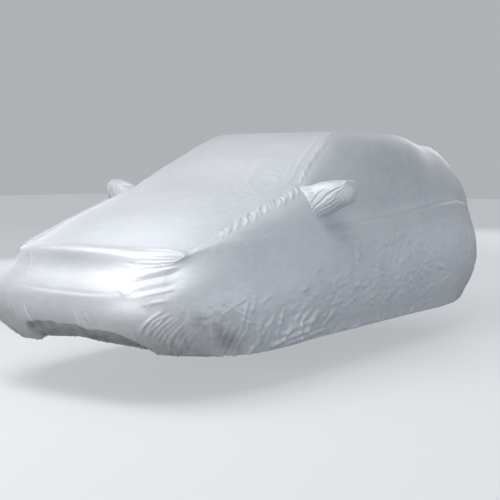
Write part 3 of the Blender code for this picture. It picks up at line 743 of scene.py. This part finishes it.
# the mirror pockets: rings from the side panel out to a rounded tip
pocket = {
    # middle and half sizes of each ring: x, y, z, half depth, half height; the first lies in the side panel
    "rings": np.array([[0.000, -0.645, 1.108, 0.078, 0.100],
                       [0.850, -0.625, 1.128, 0.094, 0.106],
                       [0.915, -0.600, 1.148, 0.098, 0.098],
                       [0.978, -0.572, 1.165, 0.090, 0.080],
                       [1.020, -0.545, 1.176, 0.064, 0.054]]),
    "tip": np.array([1.032, -0.538, 1.180]),
    "knots": np.array([0.0, 0.05, 0.30, 0.52, 0.76, 0.93, 1.0]),   # shares of flange, base, rings and tip
    "round": 2.6, "flange": 0.011, "lift": 0.0012, "cutInside": 0.014, "around": 168, "along": 84,
    "creaseWidth": (0.0075, 0.0125), "creaseDepth": (0.0065, 0.0110),   # as share round the ring; in metres
    "pleats": 31, "pleatHeight": 0.0012, "swell": 0.0014, "swellSize": (0.05, 0.06, 0.05),
    "crumple": 0.0010, "crumpleSize": (0.035, 0.04, 0.03),
    # from which share of the way out to which these are found, and how softly they begin and end
    "pleated": (0.09, 0.16, 0.10), "swollen": (0.25, 1.0, 0.2), "crumpled": (0.30, 0.95, 0.2),
    "folded": (0.08, 1.0, 0.06),
    "sideReach": (0.16, 0.18), "sideBlend": 0.012,   # how far round it and how finely the side panel is read
    "clothColumn": 40, "stitchColumn": 6,   # columns whose runs round the pocket stand for all
    "middle": np.array([0.88, -0.60, 1.14]),   # a place inside
}


def ringPlaces(ring, grow=0.0):
    # a superellipse: half size times |cos|^(2/round) and |sin|^(2/round), both with their signs
    angle = np.linspace(0, 2 * math.pi, pocket["around"] + 1)[:-1]
    power = 2 / pocket["round"]
    y = ring[1] + (ring[3] + grow) * np.sign(np.cos(angle)) * np.abs(np.cos(angle)) ** power
    z = ring[2] + (ring[4] + grow) * np.sign(np.sin(angle)) * np.abs(np.sin(angle)) ** power
    return np.column_stack([np.full(len(y), ring[0]), y, z])


def ontoSide(places, sign):
    # x of the folded side panel at these y and z: a cubic through the cloth near the pocket, then what
    # is left of the folds, averaged with weights exp(-(d / blend)^2)
    cloth = shaped["side_left" if sign > 0 else "side_right"].reshape(-1, 3)
    ring = pocket["rings"][0]
    cloth = cloth[(np.abs(cloth[:, 1:] - ring[1:3]) < pocket["sideReach"]).all(axis=1)]

    def terms(y, z):
        y, z = y - ring[1], z - ring[2]
        return np.stack([y**a * z**b for a in range(4) for b in range(4 - a)], axis=1)

    fit = np.linalg.lstsq(terms(cloth[:, 1], cloth[:, 2]), cloth[:, 0], rcond=None)[0]
    left = cloth[:, 0] - terms(cloth[:, 1], cloth[:, 2]) @ fit
    apart = (places[:, 1:2] - cloth[None, :, 1]) ** 2 + (places[:, 2:3] - cloth[None, :, 2]) ** 2
    weight = np.exp(-apart / pocket["sideBlend"]**2)
    out = places.copy()
    out[:, 0] = terms(places[:, 1], places[:, 2]) @ fit + (weight * left).sum(axis=1) / weight.sum(axis=1)
    return out


def pocketSurface(sign):
    # each place round the rings follows a smooth curve from the flange through all rings to the tip
    first = pocket["rings"][0]
    stations = [ontoSide(ringPlaces(first, grow), sign) + (sign * pocket["lift"], 0, 0)
                for grow in (pocket["flange"], 0.002)]
    stations += [ringPlaces(ring) * (sign, 1, 1) for ring in pocket["rings"][1:]]
    stations.append(np.broadcast_to(pocket["tip"] * (sign, 1, 1), stations[0].shape))
    base = pocket["knots"][1]
    shares = np.concatenate([np.linspace(0, base, 5), np.linspace(base, 1, pocket["along"] - 3)[1:]])
    return shares, np.swapaxes(curveThrough(pocket["knots"], np.stack(stations), shares), 0, 1)


def ringNormals(points, outward):
    # turned outward as the rings halfway out are
    around = np.roll(points, -1, axis=0) - np.roll(points, 1, axis=0)
    normal = np.cross(around, np.gradient(points, axis=1))
    normal /= np.maximum(np.linalg.norm(normal, axis=2), 1e-9)[:, :, None]
    quarter = pocket["along"] // 4
    return normal if (normal[:, quarter: -quarter] * outward).sum() > 0 else -normal


# creases of a pocket: places as (share round the ring, share from panel to tip)
pocketCreases = [
    [(0.62, 0.10), (0.60, 0.45), (0.54, 0.80)], [(0.66, 0.08), (0.66, 0.45), (0.60, 0.82)],
    [(0.70, 0.07), (0.71, 0.40), (0.68, 0.84)], [(0.745, 0.07), (0.76, 0.40), (0.74, 0.86)],
    [(0.58, 0.08), (0.54, 0.35), (0.47, 0.62)], [(0.54, 0.08), (0.49, 0.30), (0.42, 0.50)],
    [(0.80, 0.08), (0.82, 0.40), (0.82, 0.80)], [(0.86, 0.07), (0.88, 0.35), (0.88, 0.75)],
    [(0.50, 0.55), (0.46, 0.75), (0.40, 0.90)], [(0.30, 0.10), (0.28, 0.30), (0.30, 0.48)],
    [(0.20, 0.08), (0.20, 0.30), (0.24, 0.50)], [(0.38, 0.09), (0.36, 0.26), (0.36, 0.42)],
    [(0.64, 0.50), (0.56, 0.66), (0.44, 0.92)], [(0.69, 0.66), (0.60, 0.80), (0.52, 0.95)],
]


def pocketFolds(points, shares, normal, seed):
    # each crease a furrow of a few millimetres; the sewn base is drawn up in small pleats all round
    random = np.random.default_rng(seed)
    u = np.arange(points.shape[0]) / points.shape[0]
    height = np.zeros(points.shape[:2])
    for places in pocketCreases:
        line = smoothLine(np.array(places) + random.normal(0, 0.006, (3, 2)))
        center = np.interp(shares, line[:, 1], line[:, 0])
        wide = random.uniform(*pocket["creaseWidth"])
        apart = (u[:, None] - center[None] + 0.5) % 1 - 0.5
        ends = plateau(shares, line[0, 1] + 0.05, line[-1, 1] - 0.12, 0.12)
        # a furrow with a lower rim on both sides
        furrow = np.exp(-(apart / wide) ** 2) - 0.45 * np.exp(-(apart / (2.4 * wide)) ** 2)
        height -= random.uniform(*pocket["creaseDepth"]) * furrow * ends
    pleats = np.cos(2 * math.pi * pocket["pleats"] * u + 2 * np.sin(2 * math.pi * 3 * u + seed))[:, None]
    height += pocket["pleatHeight"] * pleats * plateau(shares, *pocket["pleated"])
    swell = cloudNoise(points, pocket["swellSize"], seed) * plateau(shares, *pocket["swollen"])
    crumple = crumpled(points, pocket["crumpleSize"], seed + 1) * plateau(shares, *pocket["crumpled"])
    height += pocket["swell"] * swell
    height += pocket["crumple"] * crumple
    return points + normal * (height * plateau(shares, *pocket["folded"]))[:, :, None]


def lengthsFromMiddle(points, axis):
    run = lengthsAlong(points, axis)
    return run - np.take(run, [run.shape[axis] // 2], axis=axis)


def gridMesh(name, points, run, sewing, soilAndShadeAmount, inside, wrapped=False, keep=None):
    # quads between neighbouring grid points, facing away from the place inside; run is the cloth's own
    # coordinates in metres, with one more column where the grid closes on itself; sewing is distance to a
    # seam, distance to the hem and the run along them
    columns, count = points.shape[:2]
    i, j = np.meshgrid(np.arange(columns if wrapped else columns - 1), np.arange(count - 1), indexing="ij")
    i, j = i.ravel(), j.ravel()
    if keep is not None:
        chosen = keep.ravel()
        i, j = i[chosen], j[chosen]
    corners = [(i, j), (i + 1, j), (i + 1, j + 1), (i, j + 1)]
    sample = len(i) // 2
    quad = [points[a[sample] % columns, b[sample]] for a, b in corners]
    if np.cross(quad[1] - quad[0], quad[3] - quad[0]) @ (quad[0] - inside) < 0:
        corners = corners[::-1]
    faces = np.stack([(a % columns) * count + b for a, b in corners], axis=1)
    used, faces = np.unique(faces, return_inverse=True)
    faces = faces.reshape(-1, 4)
    mesh = bpy.data.meshes.new(name)
    mesh.vertices.add(len(used))
    mesh.vertices.foreach_set("co", (points.reshape(-1, 3)[used] - cover["roofRest"]).ravel())
    mesh.loops.add(faces.size)
    mesh.loops.foreach_set("vertex_index", faces.ravel())
    mesh.polygons.add(len(faces))
    mesh.polygons.foreach_set("loop_start", np.arange(len(faces)) * 4)
    mesh.polygons.foreach_set("use_smooth", np.ones(len(faces), bool))
    cloth = mesh.uv_layers.new(name="clothRun")
    cloth.data.foreach_set("uv", np.stack([run[a, b] for a, b in corners], axis=1).astype(np.float32).ravel())
    sewn = mesh.attributes.new("sewing", "FLOAT_VECTOR", "POINT")
    sewn.data.foreach_set("vector", sewing.reshape(-1, 3)[used].astype(np.float32).ravel())
    # the darkening by dirt and painted shade, for the material
    soilAndShadeLayer = mesh.attributes.new("soilAndShade", "FLOAT", "POINT")
    soilAndShadeLayer.data.foreach_set("value", soilAndShadeAmount.ravel()[used].astype(np.float32))
    mesh.update(calc_edges=True)
    mesh.validate()
    # an edge of one face only is the sheet's own: it is kept sharp, so that shading doesn't run round its rim
    edges = np.empty(len(mesh.loops), int)
    mesh.loops.foreach_get("edge_index", edges)
    mesh.edges.foreach_set("use_edge_sharp", np.bincount(edges, minlength=len(mesh.edges)) == 1)
    piece = bpy.data.objects.new(name, mesh)
    bpy.context.scene.collection.objects.link(piece)
    return piece


def thicken(piece):
    cloth = piece.modifiers.new("clothThickness", "SOLIDIFY")
    cloth.thickness = cover["clothThickness"]
    cloth.offset = -1.0
    cloth.use_even_offset = True
    cloth.use_rim = True


farAway = 9.0   # a distance that no stitch reaches


def sewingOf(name, points):
    # for every point: distance to the nearest sewn edge, to the hem, and the run along that edge
    far = np.full(points.shape[:2], farAway)
    best, along = far.copy(), np.zeros(points.shape[:2])
    for edge, _, _ in sewnEdges(name):
        distance = distancesIn(points, edge)
        run = lengthsFromMiddle(points, 1 if edge in ("start", "end") else 0)
        along = np.where(distance < best, run, along)
        best = np.minimum(distance, best)
    hem = far if name == "top" else distancesIn(points, "foot")
    along = np.where(hem < best, lengthsFromMiddle(points, 0), along)
    return np.stack([best, hem, along], axis=2)


def panelPiece(name, pieceName):
    points = shaped[name]
    down = lengthsFromMiddle(points, 1) if name == "top" else lengthsAlong(points, 1)
    run = np.stack([lengthsFromMiddle(points, 0), down], axis=2)
    keep = None
    if name.startswith("side"):
        # the cloth is cut away inside the mirror pocket
        _, y, z, depth, height = pocket["rings"][0]
        centre = (points[:-1, :-1] + points[1:, 1:]) / 2
        y = np.abs(centre[:, :, 1] - y) / (depth - pocket["cutInside"])
        z = np.abs(centre[:, :, 2] - z) / (height - pocket["cutInside"])
        keep = y ** pocket["round"] + z ** pocket["round"] > 1
    piece = gridMesh(pieceName, points, run, sewingOf(name, points), soilAndShadeOf(name), cover["middle"], keep=keep)
    thicken(piece)
    return piece


def pocketPiece(sign, pieceName, seed):
    shares, points = pocketSurface(sign)
    points = pocketFolds(points, shares, ringNormals(points, np.array([sign, 0, 0])), seed)
    closed = np.concatenate([points, points[:1]])
    around, outward = lengthsFromMiddle(closed, 0), lengthsAlong(closed, 1)
    # the cloth runs on round the pocket as it does halfway out, and the stitches as they do at its base
    run = np.stack([np.broadcast_to(around[:, [pocket["clothColumn"]]], outward.shape), outward], axis=2)
    sewnRun = np.broadcast_to(around[:-1, [pocket["stitchColumn"]]], points.shape[:2])
    sewing = np.stack([outward[:-1], np.full(points.shape[:2], farAway), sewnRun], axis=2)
    unmarked, inside = np.zeros(points.shape[:2]), pocket["middle"] * (sign, 1, 1)
    piece = gridMesh(pieceName, points, run, sewing, unmarked, inside, wrapped=True)
    # the last ring comes together in one point
    work = bmesh.new()
    work.from_mesh(piece.data)
    bmesh.ops.remove_doubles(work, verts=work.verts, dist=1e-5)
    work.to_mesh(piece.data)
    work.free()
    thicken(piece)
    return piece


pieces = {
    "top": panelPiece("top", "topPanel"),
    "front": panelPiece("front", "frontPanel"),
    "rear": panelPiece("rear", "rearPanel"),
    "side_left": panelPiece("side_left", "leftSidePanel"),
    "side_right": panelPiece("side_right", "rightSidePanel"),
    "pocket_left": pocketPiece(1, "leftMirrorPocket", 71),
    "pocket_right": pocketPiece(-1, "rightMirrorPocket", 84),
}
print("pieces:", {piece.name: len(piece.data.polygons) for piece in pieces.values()})


def nodeGroup(name, inputs, outputs):
    group = bpy.data.node_groups.new(name, "ShaderNodeTree")
    kinds = {"vector": "NodeSocketVector", "value": "NodeSocketFloat"}
    for socket, kind, value in inputs:
        made = group.interface.new_socket(name=socket, in_out="INPUT", socket_type=kinds[kind])
        if value is not None:
            made.default_value = value
    for socket, kind in outputs:
        group.interface.new_socket(name=socket, in_out="OUTPUT", socket_type=kinds[kind])
    return group, group.nodes.new("NodeGroupInput").outputs, group.nodes.new("NodeGroupOutput").inputs


def put(tree, value, socket):
    # a link where the value is a socket, or else the socket's own value
    if isinstance(value, bpy.types.NodeSocket):
        tree.links.new(value, socket)
    elif value is not None:
        socket.default_value = value


def calc(tree, operation, *values, clamp=False):
    node = tree.nodes.new("ShaderNodeMath")
    node.operation = operation
    node.use_clamp = clamp
    for value, socket in zip(values, node.inputs):
        put(tree, value, socket)
    return node.outputs[0]


def splitOf(tree, vector):
    node = tree.nodes.new("ShaderNodeSeparateXYZ")
    put(tree, vector, node.inputs[0])
    return node.outputs


def noiseOf(tree, vector, scale, detail=3.0, roughness=0.55, stretch=None):
    if stretch:
        mapping = tree.nodes.new("ShaderNodeMapping")
        mapping.vector_type = "POINT"
        mapping.inputs["Scale"].default_value = stretch
        put(tree, vector, mapping.inputs["Vector"])
        vector = mapping.outputs[0]
    node = tree.nodes.new("ShaderNodeTexNoise")
    put(tree, vector, node.inputs["Vector"])
    put(tree, scale, node.inputs["Scale"])
    node.inputs["Detail"].default_value = detail
    node.inputs["Roughness"].default_value = roughness
    return node.outputs["Fac"]


def remap(tree, value, low, high, toLow=0.0, toHigh=1.0, smooth=False):
    node = tree.nodes.new("ShaderNodeMapRange")
    node.interpolation_type = "SMOOTHSTEP" if smooth else "LINEAR"
    for number, socket in zip((value, low, high, toLow, toHigh), node.inputs):
        put(tree, number, socket)
    return node.outputs[0]


yarn = {"scale": 90.0, "detail": 2.0, "warp": (6.0, 0.25, 1.0), "weft": (0.25, 6.0, 1.0)}


def weaveGroup():
    # plain weave: warp and weft rise by turns, sin(x) sin(y), with slubs where a yarn is thicker; metres
    group, given, out = nodeGroup("plainWeave", [("Cloth", "vector", None), ("Pitch", "value", 0.0011),
                                                 ("Depth", "value", 0.00008)],
                                  [("Height", "value"), ("Slub", "value")])
    x, y, _ = splitOf(group, given["Cloth"])
    turn = calc(group, "DIVIDE", math.pi, given["Pitch"])
    up = calc(group, "MULTIPLY", calc(group, "SINE", calc(group, "MULTIPLY", x, turn)),
              calc(group, "SINE", calc(group, "MULTIPLY", y, turn)))
    warp = noiseOf(group, given["Cloth"], yarn["scale"], yarn["detail"], stretch=yarn["warp"])
    weft = noiseOf(group, given["Cloth"], yarn["scale"], yarn["detail"], stretch=yarn["weft"])
    slub = calc(group, "ADD", calc(group, "MULTIPLY", warp, 0.5), calc(group, "MULTIPLY", weft, 0.5))
    height = calc(group, "MULTIPLY", calc(group, "MULTIPLY_ADD", up, 0.5, slub), given["Depth"])
    put(group, height, out["Height"])
    put(group, slub, out["Slub"])
    return group


# a seam's fold ends over this zone past its width and its edge rolls down over the next; the second row of
# stitches lies inside the width, a stitch takes this share of the pitch, a line fades over these distances;
# then the heights of fold, rolled edge, sewn groove and thread, and how much of the rolled edge gets painted
# shade
stitches = {
    "foldEnd": (0.0015, 0.0010), "edgeRoll": 0.0035, "second": 0.0025, "dash": 0.68, "line": (0.0002, 0.0009),
    "fold": 0.0004, "roll": -0.0003, "groove": -0.0005, "thread": 0.0006, "rollShadeShare": 0.6,
}


def stitchGroup():
    # a folded seam with two rows of stitches: the fold stands up as far as Width from the edge; the stitches
    # are dashes at Inset and near Width; height in metres and masks of thread and of painted shade on groove
    # and edge
    group, given, out = nodeGroup("stitchedEdge", [("Away", "value", 1.0), ("Run", "value", 0.0),
                                                   ("Width", "value", 0.014), ("Inset", "value", 0.003),
                                                   ("Pitch", "value", 0.0045)],
                                  [("Height", "value"), ("Thread", "value"), ("PaintedSeamShade", "value")])
    away, width = given["Away"], given["Width"]
    inner, outer = stitches["foldEnd"]
    edge = remap(group, away, calc(group, "SUBTRACT", width, inner), calc(group, "ADD", width, outer),
                 1.0, 0.0, True)
    roll = remap(group, away, 0.0, stitches["edgeRoll"], 1.0, 0.0, True)
    share = calc(group, "FRACT", calc(group, "DIVIDE", given["Run"], given["Pitch"]))
    dash = calc(group, "GREATER_THAN", stitches["dash"], share)
    lines = []
    for place in (given["Inset"], calc(group, "SUBTRACT", width, stitches["second"])):
        gap = calc(group, "ABSOLUTE", calc(group, "SUBTRACT", away, place))
        lines.append(remap(group, gap, *stitches["line"], 1.0, 0.0, True))
    line = calc(group, "MAXIMUM", *lines)
    thread = calc(group, "MULTIPLY", line, dash)
    height = calc(group, "MULTIPLY", edge, stitches["fold"])
    for mask, part in ((roll, "roll"), (line, "groove"), (thread, "thread")):
        height = calc(group, "MULTIPLY_ADD", mask, stitches[part], height)
    put(group, height, out["Height"])
    put(group, thread, out["Thread"])
    # painted shade for the stitch grooves and the rolled edge
    seamShade = calc(group, "MAXIMUM", line, calc(group, "MULTIPLY", roll, stitches["rollShadeShare"]))
    put(group, seamShade, out["PaintedSeamShade"])
    return group


crinkle = {"coarse": (9.0, (1.0, 0.8, 2.2)), "fine": (23.0, (1.2, 1.0, 1.7)), "fineShare": 0.35}


def crinkleGroup():
    # fine creasing left from folding and packing: two crossed noises with sharp crests, 1 - |2n - 1|; metres
    group, given, out = nodeGroup("fineCrinkle", [("Place", "vector", None), ("Depth", "value", 0.0006)],
                                  [("Height", "value"), ("Crest", "value")])
    crests = []
    for scale, stretch in (crinkle["coarse"], crinkle["fine"]):
        noise = noiseOf(group, given["Place"], scale, 2.0, 0.5, stretch)
        away = calc(group, "ABSOLUTE", calc(group, "MULTIPLY_ADD", noise, 2.0, -1.0))
        crests.append(calc(group, "SUBTRACT", 1.0, away))
    both = calc(group, "MULTIPLY_ADD", crests[1], crinkle["fineShare"], crests[0])
    put(group, calc(group, "MULTIPLY", both, given["Depth"]), out["Height"])
    put(group, both, out["Crest"])
    return group


# how far down from its upper end road dust grows to its full amount; its patches and the slow cloud as scale,
# detail and roughness of a noise
dustValues = {"depth": 0.55, "patches": (5.0, 5.0, 0.62), "cloud": (1.6, 3.0, 0.5)}


def dustGroup():
    # road dust low on the cloth, in patches, as a mask, and a slow cloud that varies tone and roughness
    group, given, out = nodeGroup("dustAndMarks", [("Place", "vector", None), ("Top", "value", -0.75),
                                                   ("Amount", "value", 0.5)],
                                  [("Mask", "value"), ("Cloud", "value")])
    _, _, z = splitOf(group, given["Place"])
    full = calc(group, "SUBTRACT", given["Top"], dustValues["depth"])
    low = remap(group, z, given["Top"], full, 0.0, 1.0, True)
    patches = remap(group, noiseOf(group, given["Place"], *dustValues["patches"]), 0.40, 0.68)
    cloud = noiseOf(group, given["Place"], *dustValues["cloud"])
    mask = calc(group, "MULTIPLY", calc(group, "MULTIPLY", low, patches), given["Amount"], clamp=True)
    put(group, mask, out["Mask"])
    put(group, cloud, out["Cloud"])
    return group


groups = {"weave": weaveGroup(), "stitch": stitchGroup(), "crinkle": crinkleGroup(), "dust": dustGroup()}


def placed(tree, group, **values):
    node = tree.nodes.new("ShaderNodeGroup")
    node.node_tree = groups[group]
    for socket, value in values.items():
        put(tree, value, node.inputs[socket])
    return node.outputs


def mixed(tree, share, first, second):
    node = tree.nodes.new("ShaderNodeMix")
    node.data_type = "RGBA"
    for value, socket in zip((share, first, second), (node.inputs[0], node.inputs[6], node.inputs[7])):
        put(tree, value, socket)
    return node.outputs[2]


# the cloth: silver with a darker shade in slow clouds and slubs, paler on fine crests, with painted shade in
# the sewn grooves and on rolled seam edges, dusty low down, darker with dirt and painted shade low down and
# under the tuck, and with painted shade over the window bands; then what sets one panel apart from another
fabric = {
    "silver": (0.590, 0.625, 0.675, 1), "shade": (0.520, 0.555, 0.610, 1), "thread": (0.46, 0.48, 0.52, 1),
    "dustColor": (0.385, 0.390, 0.400, 1), "soilAndShadeColor": (0.20, 0.195, 0.21, 1),
    "crestColor": (0.70, 0.72, 0.75, 1), "crestShare": 0.22, "seamShadeColor": (0.30, 0.32, 0.35, 1),
    "seamShadeShare": 0.12, "roughness": (0.46, 0.56), "dustRoughness": 0.25, "metallic": 0.25, "sheen": 0.20,
    "sheenRoughness": 0.45, "weavePitch": 0.0011, "weaveDepth": 0.00007, "slubShare": 0.09,
    "hemWidth": 0.030, "hemInset": 0.004, "soilAndShadeCloud": (14.0, 4.0, 0.6), "leastSoilAndShade": 0.35,
    "top": {"crinkle": 0.0007, "dust": 0.10}, "front": {"crinkle": 0.0010, "dust": 0.40},
    "rear": {"crinkle": 0.0012, "dust": 0.40}, "side": {"crinkle": 0.0012, "dust": 0.22},
    "pocket": {"crinkle": 0.0010, "dust": 0.0},
}


def clothMaterial(node):
    values = fabric[node.split("_")[0]]
    material = bpy.data.materials.new(node + "Cloth")
    material.use_nodes = True
    tree = material.node_tree
    shader = tree.nodes["Principled BSDF"]
    where = tree.nodes.new("ShaderNodeTexCoord").outputs["Object"]
    cloth = tree.nodes.new("ShaderNodeUVMap")
    cloth.uv_map = "clothRun"
    sewing = tree.nodes.new("ShaderNodeAttribute")
    sewing.attribute_name = "sewing"
    seamAway, hemAway, run = splitOf(tree, sewing.outputs["Vector"])
    weave = placed(tree, "weave", Cloth=cloth.outputs[0], Pitch=fabric["weavePitch"],
                   Depth=fabric["weaveDepth"])
    seam = placed(tree, "stitch", Away=seamAway, Run=run)
    hem = placed(tree, "stitch", Away=hemAway, Run=run, Width=fabric["hemWidth"], Inset=fabric["hemInset"])
    creased = placed(tree, "crinkle", Place=where, Depth=values["crinkle"])
    dust = placed(tree, "dust", Place=where, Amount=values["dust"])
    tone = mixed(tree, remap(tree, dust["Cloud"], 0.35, 0.65), fabric["silver"], fabric["shade"])
    slubs = remap(tree, weave["Slub"], 0.30, 0.70, 0.0, fabric["slubShare"])
    tone = mixed(tree, slubs, tone, fabric["shade"])
    crest = calc(tree, "MULTIPLY", remap(tree, creased["Crest"], 1.16, 1.32), fabric["crestShare"])
    tone = mixed(tree, crest, tone, fabric["crestColor"])
    tone = mixed(tree, dust["Mask"], tone, fabric["dustColor"])
    # dirt and painted shade: the mottled attribute darkens the colour, with painted shade under the tuck and
    # over the window bands
    soilAndShadeLayer = tree.nodes.new("ShaderNodeAttribute")
    soilAndShadeLayer.attribute_name = "soilAndShade"
    clouds = remap(tree, noiseOf(tree, where, *fabric["soilAndShadeCloud"]), 0.35, 0.65, fabric["leastSoilAndShade"], 1.0)
    tone = mixed(tree, calc(tree, "MULTIPLY", soilAndShadeLayer.outputs["Fac"], clouds), tone, fabric["soilAndShadeColor"])
    # painted shade: the stitch grooves and the rolled seam edges are darkened
    seamShade = calc(tree, "MAXIMUM", seam["PaintedSeamShade"], hem["PaintedSeamShade"])
    tone = mixed(tree, calc(tree, "MULTIPLY", seamShade, fabric["seamShadeShare"]), tone, fabric["seamShadeColor"])
    tone = mixed(tree, calc(tree, "MAXIMUM", seam["Thread"], hem["Thread"]), tone, fabric["thread"])
    put(tree, tone, shader.inputs["Base Color"])
    rough = remap(tree, dust["Cloud"], 0.3, 0.7, *fabric["roughness"])
    rough = calc(tree, "MULTIPLY_ADD", dust["Mask"], fabric["dustRoughness"], rough)
    put(tree, rough, shader.inputs["Roughness"])
    shader.inputs["Metallic"].default_value = fabric["metallic"]
    shader.inputs["Sheen Weight"].default_value = fabric["sheen"]
    shader.inputs["Sheen Roughness"].default_value = fabric["sheenRoughness"]
    height = calc(tree, "ADD", weave["Height"], calc(tree, "ADD", seam["Height"], hem["Height"]))
    bump = tree.nodes.new("ShaderNodeBump")
    bump.inputs["Strength"].default_value = 1.0
    bump.inputs["Distance"].default_value = 1.0
    put(tree, calc(tree, "ADD", height, creased["Height"]), bump.inputs["Height"])
    put(tree, bump.outputs[0], shader.inputs["Normal"])
    return material


for node, piece in pieces.items():
    piece.data.materials.append(clothMaterial(node))
    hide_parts(node)
    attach(piece, "root")
print("materials:", len(bpy.data.materials))

# floor, surroundings, lights and camera, in the part's own frame
studio = {
    "floorSize": 90.0, "floorColor": (0.34, 0.345, 0.35, 1), "floorRoughness": 0.8, "floorSpecular": 0.1,
    "floorPale": (0.93, 0.96, 1.0, 1), "floorGlow": 0.46, "backdrop": (0.43, 0.445, 0.465, 1),
    "overhead": (0.66, 0.69, 0.74, 1), "horizon": (1.0, 1.0, 1.0, 1), "worldStrength": 0.25,
    # place, aimed at, size, power in watts, colour
    "lights": [((1.0, -3.9, 3.2), (0.4, -1.7, -0.6), (3.6, 2.4), 118, (1.0, 0.985, 0.96)),
               ((-1.6, -3.6, 2.9), (-0.1, -2.3, -0.6), (2.6, 2.0), 94, (1.0, 0.985, 0.965)),
               ((1.4, -9.0, 0.0), (0.4, -2.0, -0.9), (4.0, 1.6), 195, (1.0, 0.985, 0.965)),
               ((-1.0, -1.2, 4.6), (0.0, -1.2, -0.4), (4.0, 2.6), 34, (0.98, 0.985, 1.0)),
               ((7.5, 0.6, -0.4), (0.9, 0.8, -0.8), (5.0, 1.4), 142, (0.89, 0.96, 1.0)),
               ((6.0, 9.0, -0.4), (0.9, 0.5, -0.7), (6.0, 1.6), 36, (0.89, 0.96, 1.0)),
               ((-3.0, 15.0, 4.0), (0.0, 2.0, -0.6), (7.0, 4.0), 420, (0.94, 0.98, 1.0)),
               ((-7.5, 3.0, 0.6), (-0.9, 0.5, -0.7), (5.0, 2.0), 110, (0.94, 0.98, 1.0))],
    "camera": (4.0, -6.89, -0.319), "pitch": 85.64, "turn": 34.17, "lens": 70.09,
}
ground = -cover["roofRest"][2]

floorMesh = bpy.data.meshes.new("floor")
half = studio["floorSize"] / 2
floorMesh.from_pydata([(x * half, y * half, ground) for x, y in ((-1, -1), (1, -1), (1, 1), (-1, 1))],
                      [], [(0, 1, 2, 3)])
floor = bpy.data.objects.new("floor", floorMesh)
bpy.context.scene.collection.objects.link(floor)
floorMaterial = bpy.data.materials.new("paleFloor")
floorMaterial.use_nodes = True
floorShader = floorMaterial.node_tree.nodes["Principled BSDF"]
floorShader.inputs["Base Color"].default_value = studio["floorColor"]
floorShader.inputs["Roughness"].default_value = studio["floorRoughness"]
floorShader.inputs["Specular IOR Level"].default_value = studio["floorSpecular"]
floorShader.inputs["Emission Color"].default_value = studio["floorPale"]
# it looks paler than it is, so that little of the light it throws back reaches the cloth
seen = floorMaterial.node_tree.nodes.new("ShaderNodeLightPath").outputs["Is Camera Ray"]
put(floorMaterial.node_tree, calc(floorMaterial.node_tree, "MULTIPLY", seen, studio["floorGlow"]),
    floorShader.inputs["Emission Strength"])
floorMesh.materials.append(floorMaterial)

for k, (place, aim, size, power, color) in enumerate(studio["lights"]):
    lamp = bpy.data.lights.new("softLight%d" % k, "AREA")
    lamp.shape = "RECTANGLE"
    lamp.size, lamp.size_y = size
    lamp.energy, lamp.color = power, color
    holder = bpy.data.objects.new(lamp.name, lamp)
    holder.location = place
    away = np.array(place) - np.array(aim)
    tilt, turn = math.atan2(math.hypot(away[0], away[1]), away[2]), math.atan2(away[0], -away[1])
    holder.rotation_euler = (tilt, 0, turn)
    bpy.context.scene.collection.objects.link(holder)

# the surroundings: pale at the horizon and darker overhead, by the square root of the height seen; the camera
# sees a plain backdrop instead
world = bpy.data.worlds.new("studio")
bpy.context.scene.world = world
world.use_nodes = True
sky = world.node_tree
upward = splitOf(sky, sky.nodes.new("ShaderNodeTexCoord").outputs["Generated"])[2]
rise = calc(sky, "POWER", calc(sky, "MAXIMUM", upward, 0.0), 0.5)
put(sky, mixed(sky, remap(sky, rise, 0.12, 0.85), studio["horizon"], studio["overhead"]),
    sky.nodes["Background"].inputs["Color"])
sky.nodes["Background"].inputs["Strength"].default_value = studio["worldStrength"]
backdrop = sky.nodes.new("ShaderNodeBackground")
backdrop.inputs["Color"].default_value = studio["backdrop"]
either = sky.nodes.new("ShaderNodeMixShader")
put(sky, sky.nodes.new("ShaderNodeLightPath").outputs["Is Camera Ray"], either.inputs[0])
put(sky, sky.nodes["Background"].outputs[0], either.inputs[1])
put(sky, backdrop.outputs[0], either.inputs[2])
put(sky, either.outputs[0], sky.nodes["World Output"].inputs["Surface"])
bpy.context.scene.view_settings.view_transform = "Standard"

cameraData = bpy.data.cameras.new("camera")
cameraData.lens = studio["lens"]
cameraData.sensor_width = 36.0
cameraData.clip_end = 200.0
camera = bpy.data.objects.new("camera", cameraData)
camera.location = studio["camera"]
camera.rotation_euler = (math.radians(studio["pitch"]), 0, math.radians(studio["turn"]))
bpy.context.scene.collection.objects.link(camera)
bpy.context.scene.camera = camera
print("stage ready")
